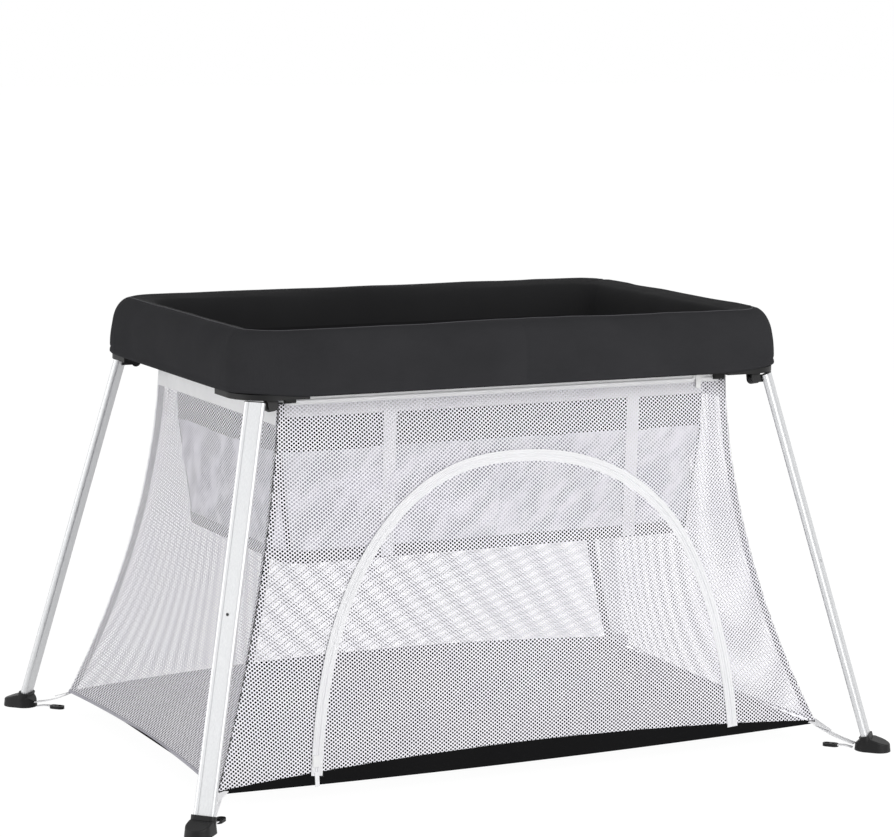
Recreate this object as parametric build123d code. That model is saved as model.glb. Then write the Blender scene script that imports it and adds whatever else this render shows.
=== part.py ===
from build123d import *
import os
from math import cos, degrees, hypot, radians, sin, tan

# A folding travel playpen: a padded oblong rail on four splayed legs, a mesh tent hung
# under the rail and tied to the feet, an arched zip door in the front, and a bassinet
# insert inside. Millimetres, +Z up, X along the length, the front faces -Y.
# The origin is on the floor under the middle of the rail.
# The rail folds in half about a line across its middle, so everything soft is made as
# a left and a right piece that meet there.

# Padded rail, measured round the outside of its lower edge
RAIL_LENGTH = 880.0
RAIL_WIDTH = 580.0
RAIL_CORNER = 62.0
RAIL_TOP = 657.0
PAD_HEIGHT = 90.0
PAD_THICKNESS = 82.0
PAD_TAPER = 6.0
PAD_OUTER_ROUND = 28.0
PAD_INNER_ROUND = 20.0
PAD_INNER_CORNER = 30.0

# Rail tube inside the pad
TUBE_RADIUS = 12.5
TUBE_WALL = 1.5
TUBE_INSET = 41.0
TUBE_BEND = 60.0

# Fold hinge of the rail, at the middle of both long sides
FOLD_AXIS_DEPTH = 9.0
KNUCKLE_RADIUS = 4.5
KNUCKLE_MIDDLE = 10.0
KNUCKLE_SIDE = 7.0
FOLD_PIN_RADIUS = 2.0
CLAMP_WALL = 3.0
CLAMP_CLEAR = 1.5
CLAMP_LENGTH = 30.0
CLAMP_TOP_GAP = 1.5

# Legs: flat oval aluminium tube, its broad face turned outward at 45 degrees
LEG_BROAD = 30.0
LEG_THIN = 10.0
LEG_EDGE_ROUND = 4.0
LEG_WALL = 1.4
LEG_RIDGE = 4.0
LEG_RIDGE_DEPTH = 0.8
LEG_SPLAY_X = 12.55
LEG_SPLAY_Y = 11.78
LEG_INSET_X = 27.86
LEG_INSET_Y = 17.46
LEG_FOLD_TILT = 2.5
LEG_RISE = 6.0
LEG_BUTTON_RADIUS = 2.2
LEG_BUTTON_SHARE = 0.5

# Corner bracket with a clevis beside the leg, and the leg's head that turns in it
PLATE_DROP = 3.0
PLATE_HEIGHT = 8.0
PLATE_INSET = 4.0
PLATE_REACH = 105.0
PLATE_BAND = 48.0
POST_LENGTH = 33.0
POST_WIDTH = 28.0
PIVOT_DROP = 9.0
HINGE_REACH = 24.5
CHEEK_RADIUS = 7.5
CHEEK_THICKNESS = 3.5
TONGUE = 8.0
ARM_HEIGHT = 11.0
LEG_PIN_RADIUS = 2.5
CAP_HEIGHT = 1.5
PLUG_LENGTH = 34.0

# Feet
FOOT_TOE = 34.0
FOOT_HEEL = 20.0
FOOT_WIDTH = 38.0
FOOT_TAPER = 6.0
FOOT_TIP = 11.0
FOOT_BACK = 9.0
FOOT_CROWN = 19.0
FOOT_ROUND = 2.5
SOCKET_WALL = 3.0
SOCKET_TOP = 23.0
LEG_END_HEIGHT = 9.0

# Mesh tent
TENT_INSET_X = 78.0
TENT_INSET_Y = 54.0
TENT_FLARE_X = 45.0
TENT_FLARE_Y = 27.0
TENT_SAG_X = 24.0
TENT_SAG_Y = 19.0
TENT_FLOOR_Z = 33.0
TENT_CLOTH = 2.0
TAPE_HEIGHT = 14.0
TAPE_CLOTH = 2.4
TAPE_CORNER = 24.0
FLOOR_CLOTH = 3.0
APRON_RISE = 20.0
MATTRESS_HEIGHT = 12.0
MATTRESS_MARGIN = 15.0
MATTRESS_CORNER = 30.0
MATTRESS_ROUND = 5.0

# Zip door in the front wall
DOOR_HALF = 338.0
DOOR_TOP = 461.0
DOOR_FULLNESS = 2.25
DOOR_GAP = 1.2
DOOR_TAPE = 20.0
DOOR_TAPE_CLOTH = 1.8
SLIDER_LENGTH = 16.0
SLIDER_WIDTH = 10.0
SLIDER_HEIGHT = 4.0
PULL_LENGTH = 24.0
PULL_WIDTH = 8.0
PULL_THICKNESS = 1.6

# Ties between the tent's corners and the feet, with their hooks
TIE_WIDTH = 12.0
TIE_CLOTH = 1.6
TAIL_LENGTH = 24.0
TAIL_WIDTH = 8.0
HOOK_LENGTH = 24.0
HOOK_WIDTH = 13.0
HOOK_HEIGHT = 4.5
HOOK_BAR = 3.2
CLIP_LENGTH = 16.0
CLIP_DEPTH = 8.0

# Bassinet insert
BASSINET_DROP = 53.0
SKIRT_HEIGHT = 125.0
BASSINET_WALL_HEIGHT = 163.0
SKIRT_TAPER = 1.5
BASSINET_TAPER = 7.5
BASSINET_CORNER = 40.0
BASSINET_CLOTH = 2.5
BOARD_HEIGHT = 6.0
BAND_WIDTH = 20.0
BAND_CLOTH = 1.5
BAND_X = 200.0
BAND_DROP = 59.0

# Clearances
SOFT_GAP = 0.4
SEAT_GAP = 0.3
FIT_GAP = 0.15
RUN_GAP = 0.05
KNUCKLE_GAP = 0.3

SIDES = {"left": -1, "right": 1}
ENDS = {"front": -1, "back": 1}
CORNERS = [(end, side) for end in ENDS for side in SIDES]
FAR = 2000.0
DIAGONAL = radians(45.0)

# Heights and places that follow from the sizes above
RAIL_BOTTOM = RAIL_TOP - PAD_HEIGHT
FOLD_Z = RAIL_TOP - FOLD_AXIS_DEPTH
TUBE_Z = FOLD_Z - CLAMP_TOP_GAP - CLAMP_WALL - TUBE_RADIUS
TUBE_X = RAIL_LENGTH / 2 - TUBE_INSET
TUBE_Y = RAIL_WIDTH / 2 - TUBE_INSET
PLATE_BOTTOM = RAIL_BOTTOM - PLATE_DROP
PLATE_TOP = PLATE_BOTTOM + PLATE_HEIGHT
CLAMP_START = KNUCKLE_RADIUS + CLAMP_CLEAR
PIVOT_Z = PLATE_BOTTOM - PIVOT_DROP
LEG_PIN_LENGTH = TONGUE + 2 * (KNUCKLE_GAP + CHEEK_THICKNESS)
FOLD_PIN_LENGTH = KNUCKLE_MIDDLE + 2 * (KNUCKLE_GAP + KNUCKLE_SIDE)
TAPE_TOP = RAIL_BOTTOM - SEAT_GAP
TENT_TOP_Z = TAPE_TOP - TAPE_HEIGHT - SEAT_GAP
TENT_TOP_X = RAIL_LENGTH / 2 - TENT_INSET_X
TENT_TOP_Y = RAIL_WIDTH / 2 - TENT_INSET_Y
TENT_FLOOR_X = RAIL_LENGTH / 2 + TENT_FLARE_X
TENT_FLOOR_Y = RAIL_WIDTH / 2 + TENT_FLARE_Y
TOP_SLIDER_X = RAIL_LENGTH / 2 - PLATE_REACH
INNER_X = RAIL_LENGTH / 2 - PAD_THICKNESS
INNER_Y = RAIL_WIDTH / 2 - PAD_THICKNESS
BASSINET_TOP = RAIL_TOP - BASSINET_DROP
SKIRT_BOTTOM = BASSINET_TOP - SKIRT_HEIGHT
BASSINET_FLOOR = SKIRT_BOTTOM - BASSINET_WALL_HEIGHT
BAND_TOP = BASSINET_TOP - BAND_DROP


def unit(vector):
    return vector.normalized()


def tent_half(z, top, floor, sag):
    """Half length or half width of the tent at height z: a line drawn in by a parabola."""
    share = (TENT_TOP_Z - z) / (TENT_TOP_Z - TENT_FLOOR_Z)
    return top + (floor - top) * share - 4 * sag * share * (1 - share)


def tent_half_x(z):
    return tent_half(z, TENT_TOP_X, TENT_FLOOR_X, TENT_SAG_X)


def tent_half_y(z):
    return tent_half(z, TENT_TOP_Y, TENT_FLOOR_Y, TENT_SAG_Y)


def apron_top(x):
    """Height of the arched top of the black apron under the front mesh."""
    return TENT_FLOOR_Z + APRON_RISE * (1 - (x / TENT_FLOOR_X) ** 2)


class Leg:
    """Directions and places of the leg at one corner."""

    def __init__(self, end, side):
        self.sx = SIDES[side]
        self.sy = ENDS[end]
        self.root = Vector(
            self.sx * (RAIL_LENGTH / 2 - LEG_INSET_X), self.sy * (RAIL_WIDTH / 2 - LEG_INSET_Y), PIVOT_Z
        )
        self.pivot = self.root - Vector(self.sx * HINGE_REACH, 0, 0)
        self.down = unit(Vector(self.sx * tan(radians(LEG_SPLAY_X)), self.sy * tan(radians(LEG_SPLAY_Y)), -1))
        self.folded = unit(Vector(-self.sx, 0, -tan(radians(LEG_FOLD_TILT))))
        self.axis = unit(self.down.cross(self.folded))
        self.fold_angle = self.down.get_angle(self.folded)
        self.outward = unit(Vector(self.sx, self.sy, 0))
        self.length = (PIVOT_Z - LEG_END_HEIGHT) / -self.down.Z
        self.end = self.root + self.down * self.length
        broad = unit(self.down.cross(self.outward))
        self.section = Plane(self.root, x_dir=broad, z_dir=self.down)
        up = Vector(0, 0, 1)
        self.hinge = Plane(self.pivot, x_dir=unit(up - self.axis * up.dot(self.axis)), z_dir=self.axis)
        reach = self.root - self.pivot
        self.arm = Plane(self.pivot, x_dir=unit(reach - self.axis * reach.dot(self.axis)), z_dir=self.axis)
        self.ground = Plane(
            (self.end.X, self.end.Y, 0), x_dir=self.outward, z_dir=(0, 0, 1)
        )


LEGS = {corner: Leg(*corner) for corner in CORNERS}


def half_space(sign):
    """A large block on one side of the fold line."""
    return Pos(sign * FAR / 2, 0, 0) * Box(FAR, FAR, 2 * FAR)


def halves(name, whole):
    """The left and right pieces of a soft solid that crosses the fold line."""
    return {f"{name}_{side}": whole & half_space(sign) for side, sign in SIDES.items()}


def block(x0, x1, y0, y1, z0, z1):
    return Pos((x0 + x1) / 2, (y0 + y1) / 2, (z0 + z1) / 2) * Box(x1 - x0, y1 - y0, z1 - z0)


def plate_below(z):
    return block(-FAR, FAR, -FAR, FAR, -FAR, z)


# Rail


def rail_path(side):
    """Centre line of one U-shaped half of the rail tube."""
    sign = SIDES[side]
    points = [
        (sign * CLAMP_START, -TUBE_Y, TUBE_Z),
        (sign * TUBE_X, -TUBE_Y, TUBE_Z),
        (sign * TUBE_X, TUBE_Y, TUBE_Z),
        (sign * CLAMP_START, TUBE_Y, TUBE_Z),
    ]
    return FilletPolyline(*points, radius=TUBE_BEND)


def rail_rod(side, radius):
    path = rail_path(side)
    start = Plane(path @ 0, z_dir=path % 0)
    return sweep(start * Circle(radius), path=path)


def rail_tube(side):
    return rail_rod(side, TUBE_RADIUS) - rail_rod(side, TUBE_RADIUS - TUBE_WALL)


def bracket_outline(leg, grow):
    """Plan of the bracket's base: the rail's corner band and a round boss over the pivot."""
    length = RAIL_LENGTH - 2 * PLATE_INSET
    width = RAIL_WIDTH - 2 * PLATE_INSET
    band = RectangleRounded(length, width, RAIL_CORNER - PLATE_INSET)
    band -= RectangleRounded(length - 2 * PLATE_BAND, width - 2 * PLATE_BAND, PAD_INNER_CORNER)
    reach_x = leg.sx * (RAIL_LENGTH - PLATE_REACH) / 2
    reach_y = leg.sy * (RAIL_WIDTH - PLATE_REACH) / 2
    corner = band & (Pos(reach_x, reach_y) * Rectangle(PLATE_REACH, PLATE_REACH))
    boss_radius = hypot(LEG_PIN_LENGTH / 2, CHEEK_RADIUS) + SEAT_GAP
    boss = Pos(leg.pivot.X, leg.pivot.Y) * Circle(boss_radius)
    outline = corner + boss
    if grow:
        outline = offset(outline, grow)
    return outline


def bracket_post(leg, grow):
    """Upright block that grips the tube at the middle of its bend."""
    reach = TUBE_BEND * sin(DIAGONAL)
    x = leg.sx * (TUBE_X - TUBE_BEND + reach)
    y = leg.sy * (TUBE_Y - TUBE_BEND + reach)
    top = TUBE_Z + TUBE_RADIUS + CLAMP_WALL
    turn = degrees(DIAGONAL) * leg.sx * leg.sy
    plan = Pos(x, y) * Rot(0, 0, turn) * Rectangle(POST_LENGTH + 2 * grow, POST_WIDTH + 2 * grow)
    return extrude(Pos(0, 0, PLATE_BOTTOM) * plan, top + grow - PLATE_BOTTOM)


def corner_bracket(end, side):
    leg = LEGS[end, side]
    body = extrude(Pos(0, 0, PLATE_BOTTOM) * bracket_outline(leg, 0), PLATE_HEIGHT)
    body += bracket_post(leg, 0)
    height = PLATE_TOP - PIVOT_Z
    for sign in (-1, 1):
        offset_along = sign * (TONGUE / 2 + KNUCKLE_GAP + CHEEK_THICKNESS / 2)
        cheek = Cylinder(CHEEK_RADIUS, CHEEK_THICKNESS)
        cheek += Pos(height / 2, 0, 0) * Box(height, 2 * CHEEK_RADIUS, CHEEK_THICKNESS)
        body += (leg.hinge * Pos(0, 0, offset_along) * cheek) & plate_below(PLATE_TOP)
    body -= leg.hinge * Cylinder(LEG_PIN_RADIUS + RUN_GAP, 2 * LEG_PIN_LENGTH)
    return body - rail_rod(side, TUBE_RADIUS + FIT_GAP)


def rail_pad():
    """Foam rail cover: tapered outside, rounded over the top, with room for what it hides."""
    outline = RectangleRounded(RAIL_LENGTH, RAIL_WIDTH, RAIL_CORNER)
    height = RAIL_TOP - RAIL_BOTTOM
    pad = extrude(Pos(0, 0, RAIL_BOTTOM) * outline, height, taper=PAD_TAPER)
    pad -= extrude(
        Pos(0, 0, RAIL_BOTTOM) * RectangleRounded(2 * INNER_X, 2 * INNER_Y, PAD_INNER_CORNER), height
    )
    top = pad.faces().sort_by(Axis.Z)[-1]
    pad = fillet(top.inner_wires()[0].edges(), PAD_INNER_ROUND)
    top = pad.faces().filter_by(Axis.Z).sort_by(Axis.Z)[-1]
    pad = fillet(top.outer_wire().edges(), PAD_OUTER_ROUND)
    for side in SIDES:
        pad -= rail_rod(side, TUBE_RADIUS + SOFT_GAP)
    for leg in LEGS.values():
        pad -= extrude(Pos(0, 0, PLATE_BOTTOM) * bracket_outline(leg, SEAT_GAP), PLATE_HEIGHT + SEAT_GAP)
        pad -= bracket_post(leg, SEAT_GAP)
    room = CLAMP_START + CLAMP_LENGTH + SOFT_GAP
    half = TUBE_RADIUS + CLAMP_WALL + SOFT_GAP
    top = FOLD_Z + KNUCKLE_RADIUS + SOFT_GAP
    for sign in ENDS.values():
        y = sign * TUBE_Y
        pad -= block(-room, room, y - half, y + half, TUBE_Z - half, top)
    return pad


def hinge_leaf(side):
    """Clamps on the tube's two ends, each with knuckles on the fold line above the tube."""
    sign = SIDES[side]
    rod = rail_rod(side, TUBE_RADIUS + FIT_GAP)
    leaves = []
    for end in ENDS.values():
        y = end * TUBE_Y
        middle = sign * (CLAMP_START + CLAMP_LENGTH / 2)
        ring = Pos(middle, y, TUBE_Z) * Rot(0, 90, 0) * Cylinder(TUBE_RADIUS + CLAMP_WALL, CLAMP_LENGTH)
        side_at = (KNUCKLE_MIDDLE + KNUCKLE_SIDE) / 2 + KNUCKLE_GAP
        spots = [(0, KNUCKLE_MIDDLE)] if side == "left" else [(-side_at, KNUCKLE_SIDE), (side_at, KNUCKLE_SIDE)]
        for at, width in spots:
            knuckle = Pos(0, y + at, FOLD_Z) * Rot(90, 0, 0) * Cylinder(KNUCKLE_RADIUS, width)
            reach = CLAMP_START + CLAMP_LENGTH / 3
            arm = block(
                min(0, sign * reach), max(0, sign * reach), y + at - width / 2, y + at + width / 2,
                FOLD_Z - KNUCKLE_RADIUS, FOLD_Z
            )
            ring += knuckle + arm
        ring -= rod
        bore = Pos(0, y, FOLD_Z) * Rot(90, 0, 0) * Cylinder(FOLD_PIN_RADIUS + RUN_GAP, 2 * FOLD_PIN_LENGTH)
        leaves.append(ring - bore)
    return Compound(children=leaves)


def fold_pins():
    return Compound(
        children=[
            Pos(0, sign * TUBE_Y, FOLD_Z) * Rot(90, 0, 0) * Cylinder(FOLD_PIN_RADIUS, FOLD_PIN_LENGTH)
            for sign in ENDS.values()
        ]
    )


def leg_pins(side):
    return Compound(children=[LEGS[end, side].hinge * Cylinder(LEG_PIN_RADIUS, LEG_PIN_LENGTH) for end in ENDS])


# Legs


def leg_outline(shrink):
    return RectangleRounded(
        LEG_BROAD - 2 * shrink, LEG_THIN - 2 * shrink, max(LEG_EDGE_ROUND - shrink, LEG_EDGE_ROUND / 4)
    )


def hinge_arm(leg, grow):
    """Flat arm of the leg's head, from the pin to the middle of the leg."""
    return leg.arm * Pos(HINGE_REACH / 2, 0, 0) * Box(HINGE_REACH, ARM_HEIGHT + 2 * grow, TONGUE + 2 * grow)


def leg_tube(end, side):
    """Extruded oval with a shallow groove that leaves a slim ridge along one broad edge."""
    leg = LEGS[end, side]
    length = leg.length + LEG_RISE
    start = leg.section * Pos(0, 0, -LEG_RISE)
    tube = extrude(start * leg_outline(0), length) - extrude(start * leg_outline(LEG_WALL), length)
    groove_x = LEG_BROAD / 2 - LEG_EDGE_ROUND - LEG_RIDGE
    groove = Pos(groove_x, -LEG_THIN / 2) * Rectangle(LEG_RIDGE_DEPTH * 2, LEG_RIDGE_DEPTH * 2)
    tube -= extrude(start * groove, length)
    tube -= hinge_arm(leg, FIT_GAP)
    button = leg.section * Pos(0, -LEG_THIN / 2, leg.length * LEG_BUTTON_SHARE)
    return tube - button * Rot(90, 0, 0) * Cylinder(LEG_BUTTON_RADIUS, LEG_THIN / 2)


def leg_head(end, side):
    """Plastic plug and cap in the top of the leg, with the arm that turns on the leg's pin."""
    leg = LEGS[end, side]
    top = leg.section * Pos(0, 0, -LEG_RISE)
    head = extrude(top * leg_outline(LEG_WALL + FIT_GAP), PLUG_LENGTH)
    head += extrude(top * Pos(0, 0, -CAP_HEIGHT) * leg_outline(0), CAP_HEIGHT)
    head += hinge_arm(leg, 0)
    head += leg.arm * Cylinder(CHEEK_RADIUS, TONGUE)
    return head - leg.arm * Cylinder(LEG_PIN_RADIUS + RUN_GAP, 2 * LEG_PIN_LENGTH)


def foot(end, side):
    """Toe that points outward and slopes up to a low collar round the leg."""
    leg = LEGS[end, side]
    plan = leg.ground * Pos((FOOT_TOE - FOOT_HEEL) / 2, 0) * SlotOverall(FOOT_TOE + FOOT_HEEL, FOOT_WIDTH)
    collar = LEG_THIN / 2 + SOCKET_WALL
    profile = Polyline(
        (-FOOT_HEEL, 0), (-FOOT_HEEL, FOOT_BACK), (-collar, FOOT_CROWN), (collar, FOOT_CROWN),
        (FOOT_TOE, FOOT_TIP), (FOOT_TOE, 0), close=True
    )
    upright = Plane(leg.ground.origin, x_dir=leg.outward, z_dir=leg.outward.cross(Vector(0, 0, 1)))
    shoe = extrude(plan, FOOT_CROWN, taper=FOOT_TAPER) & extrude(upright * make_face(profile), FOOT_WIDTH, both=True)
    upper = [edge for edge in shoe.edges() if edge.bounding_box().min.Z > FOOT_BACK / 2]
    shoe = fillet(upper, FOOT_ROUND)
    rise = (SOCKET_TOP - LEG_END_HEIGHT) / -leg.down.Z
    rim_at = leg.section * Pos(0, 0, leg.length - rise)
    socket = extrude(rim_at * leg_outline(-SOCKET_WALL), rise)
    pocket = extrude(rim_at * leg_outline(-FIT_GAP), rise + FIT_GAP)
    return shoe + socket - pocket


# Tent


def arc_face(x_of, shift, z0, z1):
    """Face between the arc x_of(z) and the same arc moved by shift, from z0 up to z1."""
    middle = (z0 + z1) / 2
    outer = ThreePointArc((x_of(z0), z0), (x_of(middle), middle), (x_of(z1), z1))
    inner = ThreePointArc(
        (x_of(z0) + shift, z0), (x_of(middle) + shift, middle), (x_of(z1) + shift, z1)
    )
    return make_face([outer, Line(outer @ 1, inner @ 1), inner, Line(inner @ 0, outer @ 0)])


def outline_face(half_of, z0, z1):
    """Symmetric face whose half width at height z is half_of(z)."""
    middle = (z0 + z1) / 2
    right = ThreePointArc((half_of(z0), z0), (half_of(middle), middle), (half_of(z1), z1))
    left = ThreePointArc((-half_of(z0), z0), (-half_of(middle), middle), (-half_of(z1), z1))
    return make_face([right, Line(right @ 1, left @ 1), left, Line(left @ 0, right @ 0)])


def long_wall(end, proud, cloth, z0, z1, outline):
    """Cloth along a long side, proud of the tent's surface, trimmed to an outline in XZ."""
    sign = ENDS[end]
    strip = arc_face(lambda z: sign * (tent_half_y(z) + proud), -sign * cloth, z0, z1)
    return extrude(Plane.YZ * strip, FAR / 2, both=True) & extrude(Plane.XZ * outline, FAR / 2, both=True)


def end_wall(side):
    sign = SIDES[side]
    strip = arc_face(lambda z: sign * tent_half_x(z), -sign * TENT_CLOTH, TENT_FLOOR_Z, TENT_TOP_Z)
    outline = outline_face(tent_half_y, TENT_FLOOR_Z, TENT_TOP_Z)
    return extrude(Plane.XZ * strip, FAR / 2, both=True) & extrude(Plane.YZ * outline, FAR / 2, both=True)


def inside_ends(z):
    return tent_half_x(z) - TENT_CLOTH - SOFT_GAP


def apron_face(grow):
    """Lens between the tent's floor edge and the arched hem of the mesh."""
    reach = TENT_FLOOR_X - TENT_CLOTH - SOFT_GAP
    arch = ThreePointArc(
        (-reach, apron_top(reach) + grow), (0, apron_top(0) + grow), (reach, apron_top(reach) + grow)
    )
    base = TENT_FLOOR_Z - FLOOR_CLOTH
    return make_face(
        [arch, Line(arch @ 1, (reach, base)), Line((reach, base), (-reach, base)), Line((-reach, base), arch @ 0)]
    )


def door_face(grow):
    """Door outline: the arch |x / half| ** n + (height / rise) ** n = 1, with n the fullness."""
    half = DOOR_HALF + grow
    base = TENT_FLOOR_Z
    rise = DOOR_TOP + grow - base
    points = []
    steps = 8
    for step in range(-steps, steps + 1):
        angle = radians(90.0 * step / steps)
        across = abs(sin(angle)) ** (2 / DOOR_FULLNESS) * half
        up = abs(cos(angle)) ** (2 / DOOR_FULLNESS) * rise
        points.append((across if step > 0 else -across, base + up))
    arch = Spline(*points, tangents=[(0, 1), (0, -1)])
    return make_face([arch, Line(arch @ 1, arch @ 0)])


def tent_front():
    outline = outline_face(inside_ends, TENT_FLOOR_Z, TENT_TOP_Z) - apron_face(SOFT_GAP) - door_face(DOOR_GAP)
    return long_wall("front", 0, TENT_CLOTH, TENT_FLOOR_Z, TENT_TOP_Z, outline)


def tent_back():
    outline = outline_face(inside_ends, TENT_FLOOR_Z, TENT_TOP_Z) - apron_face(SOFT_GAP)
    return long_wall("back", 0, TENT_CLOTH, TENT_FLOOR_Z, TENT_TOP_Z, outline)


def door_panel():
    outline = door_face(0) - apron_face(DOOR_GAP)
    return long_wall("front", 0, TENT_CLOTH, TENT_FLOOR_Z, DOOR_TOP + DOOR_TAPE, outline)


def door_tape():
    outline = door_face(DOOR_TAPE / 2) - door_face(-DOOR_TAPE / 2) - apron_face(DOOR_GAP)
    proud = DOOR_TAPE_CLOTH + SOFT_GAP
    return long_wall("front", proud, DOOR_TAPE_CLOTH, TENT_FLOOR_Z, DOOR_TOP + DOOR_TAPE, outline)


def tent_floor():
    """Floor cloth with the low black aprons that rise behind the hem of both long walls."""
    length = 2 * (TENT_FLOOR_X - TENT_CLOTH - SOFT_GAP)
    width = 2 * TENT_FLOOR_Y
    floor = Pos(0, 0, TENT_FLOOR_Z - FLOOR_CLOTH / 2) * Box(length, width, FLOOR_CLOTH)
    for end in ENDS:
        top = apron_top(0) + SOFT_GAP
        floor += long_wall(end, 0, TENT_CLOTH, TENT_FLOOR_Z - FLOOR_CLOTH, top, apron_face(0))
    return floor


def mattress():
    length = 2 * (TENT_FLOOR_X - MATTRESS_MARGIN)
    width = 2 * (TENT_FLOOR_Y - MATTRESS_MARGIN)
    pad = Pos(0, 0, TENT_FLOOR_Z + SEAT_GAP + MATTRESS_HEIGHT / 2) * Box(length, width, MATTRESS_HEIGHT)
    pad = fillet(pad.edges().filter_by(Axis.Z), MATTRESS_CORNER)
    return fillet(pad.faces().sort_by(Axis.Z)[-1].edges(), MATTRESS_ROUND)


def top_tape():
    """Zip tape that joins the tent's top edge to the underside of the rail."""
    outer = RectangleRounded(2 * TENT_TOP_X, 2 * TENT_TOP_Y, TAPE_CORNER)
    inner_x = TENT_TOP_X - TAPE_CLOTH
    inner_y = TENT_TOP_Y - TAPE_CLOTH
    inner = RectangleRounded(2 * inner_x, 2 * inner_y, TAPE_CORNER - TAPE_CLOTH)
    return extrude(Pos(0, 0, TAPE_TOP - TAPE_HEIGHT) * (outer - inner), TAPE_HEIGHT)


def tent_clips(side):
    """Small black clips that hold the tape's corners under the rail."""
    x = SIDES[side] * (TENT_TOP_X - CLIP_LENGTH)
    clips = []
    for sign in ENDS.values():
        y = sign * (TENT_TOP_Y + SOFT_GAP + CLIP_DEPTH / 2)
        base = TAPE_TOP - TAPE_HEIGHT
        top = PLATE_BOTTOM - SEAT_GAP
        clip = Pos(x, y, (base + top) / 2) * Box(CLIP_LENGTH, CLIP_DEPTH, top - base)
        clips.append(fillet(clip.edges().filter_by(Axis.X).group_by(Axis.Z)[0], CLIP_DEPTH / 3))
    return Compound(children=clips)


def top_slider():
    y = -(TENT_TOP_Y + SOFT_GAP + SLIDER_HEIGHT / 2)
    z = TAPE_TOP - TAPE_HEIGHT / 2
    x = TOP_SLIDER_X - CLIP_LENGTH - SLIDER_LENGTH / 2
    slider = Pos(x, y, z) * Box(SLIDER_LENGTH, SLIDER_HEIGHT, SLIDER_WIDTH)
    return fillet(slider.edges().filter_by(Axis.Y), SLIDER_HEIGHT / 2)


def top_pull():
    y = -(TENT_TOP_Y + 2 * SOFT_GAP + SLIDER_HEIGHT + PULL_THICKNESS / 2)
    z = TAPE_TOP - TAPE_HEIGHT / 2 - PULL_LENGTH / 2 + SLIDER_WIDTH / 2
    x = TOP_SLIDER_X - CLIP_LENGTH - SLIDER_LENGTH / 2
    pull = Pos(x, y, z) * Box(PULL_WIDTH, PULL_THICKNESS, PULL_LENGTH)
    return fillet(pull.edges().filter_by(Axis.Y), PULL_WIDTH / 4)


def door_slider():
    """Slider parked at the lower left end of the closed door zip."""
    z = apron_top(DOOR_HALF) + DOOR_GAP + SLIDER_LENGTH
    y = -(tent_half_y(z - SLIDER_LENGTH / 2) + DOOR_TAPE_CLOTH + 2 * SOFT_GAP + SLIDER_HEIGHT / 2)
    slider = Pos(-DOOR_HALF, y, z) * Box(SLIDER_WIDTH, SLIDER_HEIGHT, SLIDER_LENGTH)
    return fillet(slider.edges().filter_by(Axis.Y), SLIDER_HEIGHT / 2)


# Ties at the feet


def strip_between(start, stop, width, cloth):
    along = stop - start
    plane = Plane(start, x_dir=unit(Vector(-along.Y, along.X, 0)), z_dir=along)
    return extrude(plane * Rectangle(width, cloth), along.length)


def tie_points(leg):
    """Tent corner, and the back of the foot's heel at mid height of its plate."""
    reach_x = TENT_FLOOR_X + SOFT_GAP
    reach_y = TENT_FLOOR_Y + SOFT_GAP
    corner = Vector(leg.sx * reach_x, leg.sy * reach_y, TENT_FLOOR_Z - TIE_CLOTH / 2)
    heel = Vector(leg.end.X, leg.end.Y, FOOT_BACK / 2) - leg.outward * (FOOT_HEEL + SOFT_GAP)
    return corner, heel


def corner_ties(side):
    """White webbing from each tent corner to the foot, and the short tail of the loose hook."""
    ties = []
    for end in ENDS:
        leg = LEGS[end, side]
        corner, heel = tie_points(leg)
        top = heel - leg.outward * SOFT_GAP + Vector(0, 0, FOOT_BACK / 4)
        ties.append(strip_between(corner, top, TIE_WIDTH, TIE_CLOTH))
        start = heel - Vector(0, 0, FOOT_BACK / 4)
        stop = start - leg.outward * TAIL_LENGTH
        ties.append(strip_between(start, stop, TAIL_WIDTH, TIE_CLOTH))
    return Compound(children=ties)


def tie_hooks(side):
    """Black ladder hooks that lie on the floor at the end of the tails."""
    hooks = []
    for end in ENDS:
        leg = LEGS[end, side]
        _, heel = tie_points(leg)
        centre = heel - leg.outward * (TAIL_LENGTH + SEAT_GAP + HOOK_LENGTH / 2)
        plan = SlotOverall(HOOK_LENGTH, HOOK_WIDTH)
        plan -= SlotOverall(HOOK_LENGTH - 2 * HOOK_BAR, HOOK_WIDTH - 2 * HOOK_BAR)
        plan += Rectangle(HOOK_BAR, HOOK_WIDTH - HOOK_BAR)
        place = Plane((centre.X, centre.Y, SEAT_GAP), x_dir=leg.outward, z_dir=(0, 0, 1))
        hooks.append(extrude(place * plan, HOOK_HEIGHT))
    return Compound(children=hooks)


# Bassinet insert


def bassinet_size(z):
    """Half length and half width of the insert's outside at height z."""
    skirt = (BASSINET_TOP - max(z, SKIRT_BOTTOM)) * tan(radians(SKIRT_TAPER))
    wall = (SKIRT_BOTTOM - min(z, SKIRT_BOTTOM)) * tan(radians(BASSINET_TAPER))
    inset = SOFT_GAP + skirt + wall
    return INNER_X - inset, INNER_Y - inset


def tapered_ring(z0, z1, cloth):
    """Ring of cloth that follows the insert's outside from z0 up to z1."""
    sections = []
    for inset in (0, cloth):
        outlines = []
        for z in (z0, z1):
            half_x, half_y = bassinet_size(z)
            outline = RectangleRounded(2 * (half_x - inset), 2 * (half_y - inset), BASSINET_CORNER - inset)
            outlines.append(Pos(0, 0, z) * outline)
        sections.append(loft(outlines, ruled=True))
    return sections[0] - sections[1]


def bassinet_skirt():
    return tapered_ring(SKIRT_BOTTOM + SEAT_GAP, BASSINET_TOP, BASSINET_CLOTH)


def bassinet_wall():
    return tapered_ring(BASSINET_FLOOR, SKIRT_BOTTOM, BASSINET_CLOTH)


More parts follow.
